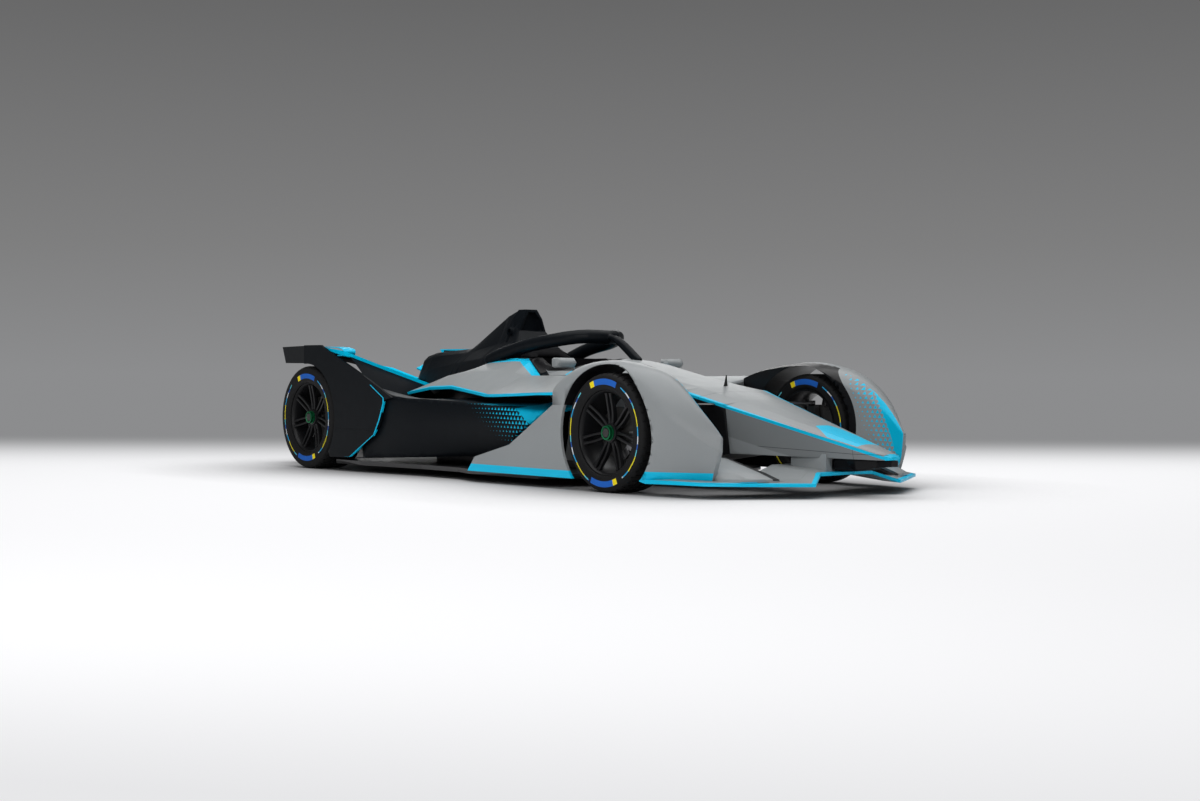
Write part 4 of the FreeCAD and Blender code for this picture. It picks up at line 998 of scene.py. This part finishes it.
# Other finishes
def carbon_weave(name, tone, pitch, rough):
    """Woven carbon under satin lacquer: twill of two crossing tows."""
    finish = Finish(name)
    x, y, z = finish.place()
    along = finish.plus(x, finish.times(z, 0.5))
    across = finish.plus(y, finish.times(z, 0.8))
    u = finish.calc("DIVIDE", finish.plus(along, across), pitch)
    v = finish.calc("DIVIDE", finish.minus(along, across), pitch)
    cell = finish.plus(finish.calc("FLOOR", u), finish.calc("FLOOR", v))
    step = finish.calc("FLOORED_MODULO", cell, 2.0)
    crown = finish.size_of(finish.minus(finish.calc("FRACT", u), 0.5))
    shade = finish.plus(finish.times(step, 0.35), finish.times(crown, 0.6))
    low = (tone * 0.55, tone * 0.55, tone * 0.58, 1.0)
    high = (tone * 1.5, tone * 1.5, tone * 1.6, 1.0)
    finish.set(
        Base_Color=finish.mix(shade, low, high),
        Roughness=finish.level(finish.noise(40.0, 3.0), rough - 0.05, rough + 0.08),
        Coat_Weight=0.25, Coat_Roughness=0.20)
    return finish.material


def rubber(name, tone):
    """Moulded rubber with a fine grain."""
    finish = Finish(name)
    finish.place()
    cloud = finish.noise(60.0, 5.0)
    finish.set(
        Base_Color=finish.mix(cloud, plain_grey(tone * 0.7), plain_grey(tone * 1.5)),
        Roughness=finish.level(cloud, 0.55, 0.75), Specular_IOR_Level=0.35)
    finish.bump(finish.noise(700.0, 3.0), 0.0002, 0.4)
    return finish.material


def tyre_rubber(name, axle, inner_edge):
    """Tyre rubber with the coloured bands and rings of its two sidewalls."""
    blue, yellow = (0.012, 0.110, 0.480, 1.0), (0.850, 0.680, 0.010, 1.0)
    degrees, turn_soft, run, wander_reach = 180 / math.pi, 0.3, 52.0, 0.012
    band_foot, band_top, ring_foot, ring_top = 0.258, 0.290, 0.2805, 0.2875
    narrow, wide, end = 22.0, 24.0, 17.0
    finish = Finish(name)
    x, y, z = finish.place((axle.x, 0, axle.z))
    out = finish.size_of(y)
    outer_face = finish.above(out, 0.75)
    handed_x = finish.times(
        finish.times(x, finish.calc("SIGN", y)),
        finish.calc("MULTIPLY_ADD", outer_face, -2.0, 1.0))
    radius = finish.distance(x, z)
    angle, low_angle = (
        finish.times(finish.calc("ARCTAN2", handed_x, up), degrees)
        for up in (z, finish.times(z, -1.0)))
    sidewall = finish.without(finish.within(out, inner_edge, 0.845))
    band = finish.both(finish.within(radius, band_foot, band_top), sidewall)
    top = finish.both(band, finish.within(angle, -wide, narrow, turn_soft))
    bottom = finish.both(band, finish.within(low_angle, -narrow, wide, turn_soft))
    ends = finish.either(
        finish.both(top, finish.below(angle, -end, turn_soft)),
        finish.both(bottom, finish.above(low_angle, end, turn_soft)))
    wander = finish.level(finish.noise(5.0, 2.0), -wander_reach, wander_reach)
    ring = finish.within(finish.minus(radius, wander), ring_foot, ring_top)
    arcs = finish.either(*(
        finish.within(angle, *arc, turn_soft) for arc in ((-155.0, -42.0), (30.0, 146.0))))
    share = finish.calc("FRACT", finish.times(finish.plus(angle, 400.0), 1.0 / run))
    cloud = finish.noise(60.0, 5.0)
    colour = finish.mix(cloud, (0.0055, 0.0055, 0.0060, 1.0), (0.0100, 0.0100, 0.0105, 1.0))
    for mask, tone in (
            (finish.both(ring, arcs, sidewall), finish.ramp(share, STREAK_TONES, "CONSTANT")),
            (finish.either(top, bottom), blue), (ends, yellow)):
        colour = finish.mix(mask, colour, tone)
    finish.set(
        Base_Color=colour, Roughness=finish.level(cloud, 0.55, 0.74), Specular_IOR_Level=0.16)
    finish.bump(finish.noise(700.0, 3.0), 0.0002, 0.4)
    return finish.material


def satin_metal(name, tone, rough, metal=1.0, shine=0.5):
    """Blasted metal or a hard satin coat, with a slight cloud."""
    finish = Finish(name)
    finish.place()
    finish.set(
        Base_Color=finish.mix(finish.noise(18.0, 4.0), darker(tone, 0.82), tone),
        Metallic=metal, Specular_IOR_Level=shine,
        Roughness=finish.level(finish.noise(220.0, 3.0), rough - 0.06, rough + 0.08))
    finish.bump(finish.noise(500.0, 2.0), 0.00008, 0.4)
    return finish.material


def anodised(name, tone):
    """Coloured anodised alloy."""
    finish = Finish(name)
    finish.place()
    finish.set(
        Base_Color=finish.mix(finish.noise(30.0, 3.0), darker(tone, 0.75), tone),
        Metallic=0.75, Roughness=finish.level(finish.noise(260.0, 2.0), 0.26, 0.40))
    return finish.material


def cloth(name, tone):
    """Woven harness and seat cloth."""
    threads = 1500.0
    finish = Finish(name)
    x, y, z = finish.place()
    u = finish.calc("SINE", finish.times(finish.plus(x, z), threads))
    v = finish.calc("SINE", finish.times(finish.minus(y, z), threads))
    weave = finish.calc("MULTIPLY_ADD", finish.times(u, v), 0.5, 0.5)
    finish.set(
        Base_Color=finish.mix(weave, darker(tone, 0.6), tone), Roughness=0.90,
        Specular_IOR_Level=0.10)
    finish.bump(weave, 0.0002, 0.3)
    return finish.material


def lamp_lens():
    """Red lens of the rain light, with a dimpled pattern."""
    dimples = 700.0
    finish = Finish("lamp_lens")
    _, y, z = finish.place()
    dimple = finish.times(*(
        finish.calc("SINE", finish.times(place, dimples)) for place in (y, z)))
    share = finish.calc("MULTIPLY_ADD", dimple, 0.5, 0.5)
    finish.set(
        Base_Color=finish.mix(share, (0.20, 0.004, 0.004, 1), (0.50, 0.01, 0.01, 1)),
        Roughness=0.12, Coat_Weight=1.0)
    finish.bump(dimple, 0.0006, 0.6)
    return finish.material


def glass_finish():
    """The mirrors' silvered glass."""
    finish = Finish("mirror_glass")
    finish.place()
    finish.set(
        Base_Color=finish.mix(finish.noise(4.0), (0.55, 0.57, 0.60, 1), (0.62, 0.64, 0.66, 1)),
        Metallic=1.0, Roughness=0.06)
    return finish.material


def floor_finish(settings):
    """Pale floor: white near the car, with its shadow, partly from the lamps and partly painted
    into its emission by ambient occlusion, and the wall's grey behind it.
    """
    fade_start, fade_end, shade_reach, shade_power = 0.2, 7.6, 1.3, 2.8
    finish = Finish("studio_floor_finish")
    x, y, _ = finish.place()
    tone = settings.floor_tone
    finish.set(
        Base_Color=finish.mix(finish.noise(0.6, 2.0), darker(tone, 0.985), tone), Roughness=0.75)
    # Painted shadow: the floor's emission is darkened by ambient occlusion near the car
    shade = finish.add("ShaderNodeAmbientOcclusion")
    shade.inputs["Distance"].default_value = shade_reach
    painted_shadow_emission = finish.mix(
        finish.calc("POWER", shade.outputs["AO"], shade_power), BLACK, (0.70, 0.70, 0.71, 1.0))
    lit = finish.feed(
        finish.add("ShaderNodeAddShader"),
        finish.shaded("ShaderNodeBsdfDiffuse", (0.24, 0.24, 0.243, 1.0)),
        finish.shaded("ShaderNodeEmission", painted_shadow_emission))
    behind = finish.plus(
        finish.times(x, math.cos(VIEW_YAW)), finish.times(y, math.sin(VIEW_YAW)))
    far = finish.feed(
        finish.add("ShaderNodeMapRange", interpolation_type="SMOOTHERSTEP"),
        behind, fade_start, fade_end, 0.0, 1.0)
    backdrop = finish.blend(far, lit, finish.shaded("ShaderNodeEmission", settings.wall))
    shown = finish.blend(finish.seen_directly(), finish.shader.outputs[0], backdrop)
    finish.join(shown, finish.output.inputs["Surface"])
    return finish.material


# Studio
def place_camera(lens):
    """The camera stands where the photograph was taken from."""
    ahead = Vector((
        math.cos(VIEW_PITCH) * math.cos(VIEW_YAW), math.cos(VIEW_PITCH) * math.sin(VIEW_YAW),
        math.sin(VIEW_PITCH)))
    right = Vector((math.sin(VIEW_YAW), -math.cos(VIEW_YAW), 0.0))
    up = right.cross(ahead)
    turned_right = right * math.cos(VIEW_ROLL) + up * math.sin(VIEW_ROLL)
    turned_up = up * math.cos(VIEW_ROLL) - right * math.sin(VIEW_ROLL)
    turn = Matrix((turned_right, turned_up, -ahead)).transposed()
    data = bpy.data.cameras.new("studio_camera")
    data.lens = lens
    data.sensor_width = 36.0
    data.sensor_fit = "HORIZONTAL"
    data.clip_end = 200.0
    camera = linked("studio_camera", data)
    camera.matrix_world = Matrix.Translation(CAMERA_PLACE) @ turn.to_4x4()
    bpy.context.scene.camera = camera


def even_world(settings):
    """An even light all round, that shows as the studio's wall where it is seen."""
    world = bpy.data.worlds.new("studio_world")
    world.use_nodes = True
    bench = Bench(world.node_tree)
    even = bench.shaded("ShaderNodeBackground", (0.95, 0.97, 1.0, 1.0))
    even.node.inputs["Strength"].default_value = 0.29
    height = bench.parts(bench.add("ShaderNodeTexCoord").outputs["Generated"])[2]
    wall = bench.ramp(height, (
        (0.0, settings.wall), (0.07, (0.209, 0.209, 0.210, 1.0)), (0.21, settings.ceiling)),
        "LINEAR")
    shown = bench.blend(bench.seen_directly(), even, bench.shaded("ShaderNodeBackground", wall))
    bench.join(shown, bench.add("ShaderNodeOutputWorld").inputs["Surface"])
    bpy.context.scene.world = world


def add_lamps(power):
    """A wide soft box overhead, a low fill beside the camera and a rim light behind."""
    for name, place, target, size, share in (
            ("overhead_box", (0.3, 0.0, 5.2), (0, 0, 0), (9.0, 6.0), 1.0),
            ("camera_fill", (5.0, -6.0, 2.4), (0.2, 0, 0.4), (5.0, 2.0), 0.34),
            ("back_rim", (-6.5, 5.5, 3.6), (0, 0, 0.5), (5.0, 1.6), 0.20)):
        data = bpy.data.lights.new(name, "AREA")
        data.shape = "RECTANGLE"
        data.size, data.size_y = size
        data.energy = power * share
        lamp = linked(name, data)
        lamp.location = place
        direction = Vector(target) - Vector(place)
        lamp.rotation_euler = direction.to_track_quat("-Z", "Y").to_euler()


class CAR_OT_studio(bpy.types.Operator):
    """Floor, wall, lights and the camera of the photograph's viewpoint"""
    bl_idname = "racing_car.studio"
    bl_label = "Studio"

    def execute(self, context):
        settings = context.scene.racing_studio
        clear_selection()
        context.scene.view_settings.view_transform = "Standard"
        place_camera(settings.lens)
        bpy.ops.mesh.primitive_circle_add(
            vertices=96, radius=90.0, fill_type="NGON", location=(0, 0, 0))
        floor = settle(context.object)
        floor.name = "studio_floor"
        floor.data.materials.append(floor_finish(settings))
        even_world(settings)
        add_lamps(settings.power)
        return {"FINISHED"}


class CAR_OT_bodywork(bpy.types.Operator):
    """Tub, nose, fairings, sidepods, cover and wings with their paint"""
    bl_idname = "racing_car.bodywork"
    bl_label = "Bodywork"

    def execute(self, context):
        weave = carbon_weave("carbon_weave", 0.020, 0.004, 0.32)
        dress("monocoque", tub_paint())
        dress("nose_cone", nose_paint())
        panels = (
            ("fairing_", fairing_paint(), "grey_paint", 32),
            ("side_panel_", side_panel_paint(), "grey_paint", 32),
            ("shoulder_", shoulder_paint(), "grey_paint", 32),
            ("sidepod_", pod_paint(), "dark_paint", 40),
            ("rear_deflector_", deflector_paint(), "dark_paint", 32))
        for side, _ in SIDES:
            for node, paint, slot, angle in panels:
                dress(node + side, paint, angle)
        dress("engine_cover", cover_paint(), 40)
        dress("roll_hoop", plain_paint("hoop_paint", "dark", 0.62, 0.04), 40)
        halo = fattened(moulded(smoothed("halo", "halo_finish", 50), 0.006, 10), 0.008)
        hang(halo, "chassis", plain_paint("halo_paint", "dark", 0.42, 0.10))
        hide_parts("halo")
        dress("rear_wing", rear_wing_paint())
        dress("front_wing", front_wing_paint())
        dress("wing_pylons", pylon_paint())
        dress("floor", weave)
        dress("belly_pan", weave)
        dress("mirrors", plain_paint("grey_paint", "grey"), 45)
        mast = bevelled(sweep_bar("nose_mast_fin", MAST_STATIONS, MAST_SIZES), 0.0012)
        hang(mast, "chassis", rubber("mast_black", 0.008))
        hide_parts("nose_mast")
        return {"FINISHED"}


# Wheels
def tyre_shape(name, axle, width, radius):
    """A tyre with rounded shoulders, three grooves round it and slots in its outer ribs."""
    depth = bpy.context.scene.racing_wheels.sipe_depth
    shoulder, ribs, mouth_half, foot_half = 0.033, 4, 0.0045, 0.0038
    slot_foot, slot_overhang, least_area, slot_share = 0.0095, 0.02, 0.00006, 0.6
    first_segment = 1000
    flank = (
        (0.0125, 0.2300), (0.0040, 0.2400), (0.0008, 0.2520), (0.0008, 0.2560), (0.0000, 0.2580),
        (0.0000, 0.2905), (0.0012, 0.2925), (0.0012, 0.2945), (0.0050, radius - 0.0160),
        (0.0120, radius - 0.0070), (0.0210, radius - 0.0020), (shoulder, radius))
    side = tuple((HALF_WIDTH - inset, reach) for inset, reach in flank)
    other = tuple((HALF_WIDTH - width + inset, reach) for inset, reach in reversed(flank))
    first, last = HALF_WIDTH - shoulder, HALF_WIDTH - width + shoulder
    rib = (first - last) / ribs
    tread = []
    for index in range(1, ribs):
        middle = first - rib * index
        tread += [
            (middle + mouth_half, radius), (middle + foot_half, radius - depth),
            (middle - foot_half, radius - depth), (middle - mouth_half, radius)]

    def in_slot(face, reach, across, segment):
        """Slanted slots on the tread's ribs and shoulders, a few segments apart."""
        if reach < radius - slot_foot or face.calc_area() < least_area:
            return False
        if across > first + slot_overhang or across < last - slot_overhang:
            return False
        row = int(abs(across - (first + last) / 2) / rib)
        lean = 2 if across > first or across < last else 0
        return (segment + row + lean) % (6 if row == 0 else 5) == 0

    piece = lathe(name, axle, side + tuple(tread) + other, TYRE_STEPS)
    return pressed_in(piece, axle, TYRE_STEPS, first_segment, depth * slot_share, in_slot)


def rim_shape(name, axle, width):
    """A rim: turned barrel and lip, and pairs of bars that part from the hub towards the rim."""
    outer, inner = 0.875, HALF_WIDTH - width + 0.010
    barrel = lathe(name, axle, (
        (outer - 0.0100, 0.2284), (outer - 0.0085, 0.2272), (outer - 0.0085, 0.2245),
        (outer - 0.0105, 0.2225), (outer - 0.0230, 0.2150), (outer - 0.0330, 0.2120),
        (outer - 0.0700, 0.2060), (inner + 0.0450, 0.2050), (inner + 0.0080, 0.2190),
        (inner, 0.2205), (inner, 0.2280), (inner + 0.0080, 0.2284), (inner + 0.0400, 0.2130),
        (outer - 0.0650, 0.2130), (outer - 0.0400, 0.2284)), 120)
    hub = lathe(name + "_centre", axle, RIM_CENTRE, 72)
    stations, sizes = [], []
    for reach, face, spread, wide, deep in RIM_BAR:
        turn = math.radians(spread)
        stations.append((
            axle.x + reach * math.sin(turn), face - deep / 2, axle.z + reach * math.cos(turn)))
        sizes.append((wide, deep))
    bar = soft_shaded(bevelled(sweep_bar(name + "_bar", stations, sizes), 0.0032, 3), 50)
    pieces = [soft_shaded(barrel, 25), soft_shaded(hub, 30)]
    for pair in range(BAR_PAIRS):
        turn = turned_about(axle, pair * 360 / BAR_PAIRS)
        for change in (turn, turn @ mirrored_across(axle)):
            pieces.append(copied(bar, name + "_bar_copy", change))
    bpy.data.objects.remove(bar)
    return joined_up(pieces, name)


def nut_shape(name, axle):
    """A locking ring nut with notches round its rim and an open middle."""
    notch_reach, notch_start, notch_pitch, notch_width, notch_depth = 0.0365, 0.852, 12, 4, 0.0045

    def in_notch(_, reach, across, segment):
        in_turn = segment % notch_pitch < notch_width
        return reach > notch_reach and across > notch_start and in_turn

    ring = lathe(name, axle, NUT_RINGS, NUT_STEPS)
    return pressed_in(ring, axle, NUT_STEPS, NUT_STEPS * 10, notch_depth, in_notch)


class CAR_OT_wheels(bpy.types.Operator):
    """Tyres, rims, hubs, uprights and brakes of the four wheels"""
    bl_idname = "racing_car.wheels"
    bl_label = "Wheels"

    def execute(self, context):
        rim_finish = satin_metal("rim_black", (0.007, 0.007, 0.008, 1.0), 0.38, 0.0, 0.22)
        disc = satin_metal("disc_carbon", (0.030, 0.029, 0.028, 1.0), 0.5, 0.2)
        metal = satin_metal("upright_alloy", ALLOY_GREY, 0.38)
        nut_finish = anodised("nut_anodised", context.scene.racing_wheels.nut)
        for end, axle, width, radius in (
                ("front", FRONT_AXLE, 0.240, 0.320), ("rear", REAR_AXLE, 0.270, 0.340)):
            tyre_finish = tyre_rubber(end + "_tyre_rubber", axle, HALF_WIDTH + 0.040 - width)
            tyre = tyre_shape(end + "_tyre_tread_left", axle, width, radius)
            rim = rim_shape(end + "_rim_bars_left", axle, width)
            nut = nut_shape(end + "_wheel_nut_left", axle)
            for piece, node, slot, material in (
                    (tyre, "tyre", "tyre", tyre_finish), (rim, "rim", "rim_black", rim_finish),
                    (nut, None, "rim_black", nut_finish)):
                twin = copied(piece, piece.name.replace("_left", "_right"), TO_RIGHT)
                for side, one in (("left", piece), ("right", twin)):
                    hang(one, f"{end}_wheel_{side}", material)
                    if node:
                        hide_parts(f"{end}_{node}_{side}")
            for side, _ in SIDES:
                dress(f"{end}_hub_{side}", disc)
        for node in ("front_upright_left", "front_upright_right", "rear_uprights"):
            dress(node, metal)
        return {"FINISHED"}


class CAR_OT_chassis(bpy.types.Operator):
    """Wishbones, steering rack, gearbox, battery, crash structure and rain light"""
    bl_idname = "racing_car.chassis"
    bl_label = "Chassis"

    def execute(self, context):
        weave = carbon_weave("link_carbon", 0.022, 0.003, 0.30)
        metal = satin_metal("case_alloy", (0.22, 0.22, 0.23, 1.0), 0.42)
        for node, material, slot in (
                ("front_wishbones", weave, "links"), ("rear_wishbones", weave, "links"),
                ("steering_rack", metal, "links"), ("gearbox", metal, "case_grey"),
                ("battery", metal, "case_grey"), ("crash_structure", weave, "carbon"),
                ("rain_light", lamp_lens(), "lamp_red")):
            dress(node, material)
        return {"FINISHED"}


# Trim
def wing_folds():
    """The folded accent plates at the rear wing's outer front ends."""
    paint = plain_paint("wing_fold_paint", "accent")
    for side, hand in SIDES:
        fold = ribbon("wing_fold_" + side, WING_FOLD, 0.090, 0.0050, hand * 0.826)
        hang(fold, "chassis", paint)


def rear_ramps():
    """Dark panels that rise from the shoulders' tails to the rear wing, inside the deflectors."""
    rise, sweep, middle, width, thick = 0.302, 0.062, 0.564, 0.616, 0.0040
    for side, hand in SIDES:
        ramp = ribbon("rear_ramp_" + side, REAR_RAMP, width, thick, hand * middle)
        lean = Matrix.Identity(4)
        lean[0][1], lean[0][3] = sweep * hand, -sweep * middle
        lean[2][1], lean[2][3] = rise * hand, -rise * middle
        ramp.data.transform(lean)
        paint = plain_paint("ramp_paint_" + side, "dark", 0.60, 0.03)
        hang(ramp, "chassis", paint)


def rivets():
    """Countersunk rivets in the rear deflectors' outer plates."""
    height, sunk = 0.0034, 0.0019
    steel = satin_metal("rivet_steel", (0.10, 0.10, 0.11, 1.0), 0.4)
    for side, hand in SIDES:
        heads = []
        for x, z in RIVET_PLACES:
            clear_selection()
            bpy.ops.mesh.primitive_cylinder_add(
                vertices=14, radius=0.0045, depth=height, location=(x, hand * HALF_WIDTH, z),
                rotation=(math.pi / 2, 0, 0))
            heads.append(bevelled(settle(bpy.context.object), 0.0012))
        joined = joined_up(heads, "deflector_rivets_" + side)
        joined.data.transform(Matrix.Translation((0, -hand * sunk, 0)))
        hang(joined, "chassis", steel)


def mirror_glasses():
    """The mirrors' glass, set in the housings' rear faces."""
    silvered = glass_finish()
    for side, hand in SIDES:
        glass = block(
            "mirror_glass_" + side, (0.3510, hand * 0.418, 0.700), (0.0050, 0.086, 0.034), 0.0020)
        hang(glass, "chassis", silvered)


class CAR_OT_trim(bpy.types.Operator):
    """Wing folds, rear ramps, rivets and mirror glass"""
    bl_idname = "racing_car.trim"
    bl_label = "Trim"

    def execute(self, context):
        wing_folds()
        rear_ramps()
        rivets()
        mirror_glasses()
        return {"FINISHED"}


# Cockpit
def harness():
    """Two shoulder straps and two lap straps that meet at a round buckle."""
    webbing = cloth("harness_cloth", (0.075, 0.078, 0.085, 1.0))
    for side, hand in SIDES:
        shoulder = ribbon("shoulder_strap_" + side, SHOULDER_STRAP, 0.052, 0.0030, hand * 0.062)
        hang(shoulder, "chassis", webbing)
        middle = hand * 0.100
        lap = rod("lap_strap_" + side, (
            (-0.058, hand * 0.152, 0.205), (-0.040, middle, 0.214), (-0.022, hand * 0.030, 0.209)),
            0.0045)
        make_active(lap)
        bpy.ops.transform.resize(value=(4.2, 1.0, 1.0), center_override=(-0.040, middle, 0.210))
        hang(settle(lap), "chassis", webbing)
    buckle = block("harness_buckle", (-0.018, 0.0, 0.212), (0.062, 0.062, 0.016), 0.006)
    hang(buckle, "chassis", satin_metal("buckle_steel", ALLOY_GREY, 0.30))


def on_the_wheel(piece, material):
    """Turns a piece that was made about the origin onto the steering wheel's face."""
    tilt = Matrix.Rotation(math.radians(WHEEL_TILT), 4, "Y")
    piece.data.transform(Matrix.Translation(WHEEL_CENTRE) @ tilt)
    hang(piece, "steering_wheel", material)


def steering_controls():
    """Grips, paddles, blank display and buttons on the steering wheel."""
    dress("steering_wheel", rubber("wheel_shell", 0.010), 45)
    grip_rubber = rubber("grip_rubber", 0.016)
    for side, hand in SIDES:
        grip_path = [(x, hand * y, z) for x, y, z in (
            (-0.004, 0.112, -0.058), (-0.006, 0.121, -0.020),
            (-0.004, 0.123, 0.020), (0.000, 0.117, 0.056))]
        stem_path = [(x, hand * y, 0.012) for x, y in (
            (0.030, 0.064), (0.020, 0.055), (0.004, 0.050))]
        on_the_wheel(rod("wheel_grip_" + side, grip_path, 0.0135), grip_rubber)
        on_the_wheel(block(
            "shift_paddle_" + side, (0.030, hand * 0.085, 0.012), (0.004, 0.050, 0.036), 0.0018),
            grip_rubber)
        on_the_wheel(rod("paddle_stem_" + side, stem_path, 0.0045), grip_rubber)
    on_the_wheel(
        block("display_bezel", (-0.013, 0.0, 0.018), (0.018, 0.118, 0.074), 0.004), grip_rubber)
    on_the_wheel(
        block("blank_display", (-0.0225, 0.0, 0.020), (0.0025, 0.098, 0.052), 0.0010),
        satin_metal("display_glass", WING_BLACK, 0.12, 0.0))
    tones = {
        "accent": anodised("button_accent", bpy.context.scene.racing_paint.accent),
        "red": anodised("button_red", (0.45, 0.010, 0.010, 1.0)),
        "green": anodised("button_green", (0.010, 0.28, 0.060, 1.0))}
    for index, (tone, across, up) in enumerate(BUTTONS):
        knob = button(f"wheel_button_{index}", (-0.010, across, up), 0.0075, 0.014)
        on_the_wheel(knob, tones[tone])


class CAR_OT_cockpit(bpy.types.Operator):
    """Seat, headrest, harness and steering wheel"""
    bl_idname = "racing_car.cockpit"
    bl_label = "Cockpit"

    def execute(self, context):
        seat = stuffed("seat", "seat_pad", 0.007, 0.006)
        hang(seat, "chassis", cloth("seat_cloth", UNDERSIDE))
        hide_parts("seat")
        headrest = stuffed("headrest", "headrest_pad", 0.005, 0.005)
        hang(headrest, "chassis", cloth("headrest_cloth", NEAR_BLACK))
        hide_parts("headrest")
        harness()
        steering_controls()
        return {"FINISHED"}


class CAR_PT_sidebar(bpy.types.Panel):
    """Lists the car's settings, and its pieces in the order in which they are made"""
    bl_label = "Racing Car"
    bl_idname = "CAR_PT_sidebar"
    bl_space_type = "VIEW_3D"
    bl_region_type = "UI"
    bl_category = "Racing Car"

    def draw(self, context):
        for name, group in SETTINGS:
            box = self.layout.box()
            for setting in group.__annotations__:
                box.prop(getattr(context.scene, name), setting)
        for operator in STEPS:
            self.layout.operator(operator.bl_idname)


STEPS = (
    CAR_OT_studio, CAR_OT_bodywork, CAR_OT_wheels, CAR_OT_chassis, CAR_OT_trim, CAR_OT_cockpit)
SETTINGS = (
    ("racing_paint", PaintSettings),
    ("racing_wheels", WheelSettings),
    ("racing_studio", StudioSettings),
)


def register():
    for name, group in SETTINGS:
        bpy.utils.register_class(group)
        setattr(bpy.types.Scene, name, bpy.props.PointerProperty(type=group))
    for shown in STEPS + (CAR_PT_sidebar,):
        bpy.utils.register_class(shown)


def unregister():
    for shown in reversed(STEPS + (CAR_PT_sidebar,)):
        bpy.utils.unregister_class(shown)
    for name, group in reversed(SETTINGS):
        delattr(bpy.types.Scene, name)
        bpy.utils.unregister_class(group)


def main():
    register()
    for call in (
            bpy.ops.racing_car.studio, bpy.ops.racing_car.bodywork, bpy.ops.racing_car.wheels,
            bpy.ops.racing_car.chassis, bpy.ops.racing_car.trim, bpy.ops.racing_car.cockpit):
        call()


if __name__ == "__main__":
    main()
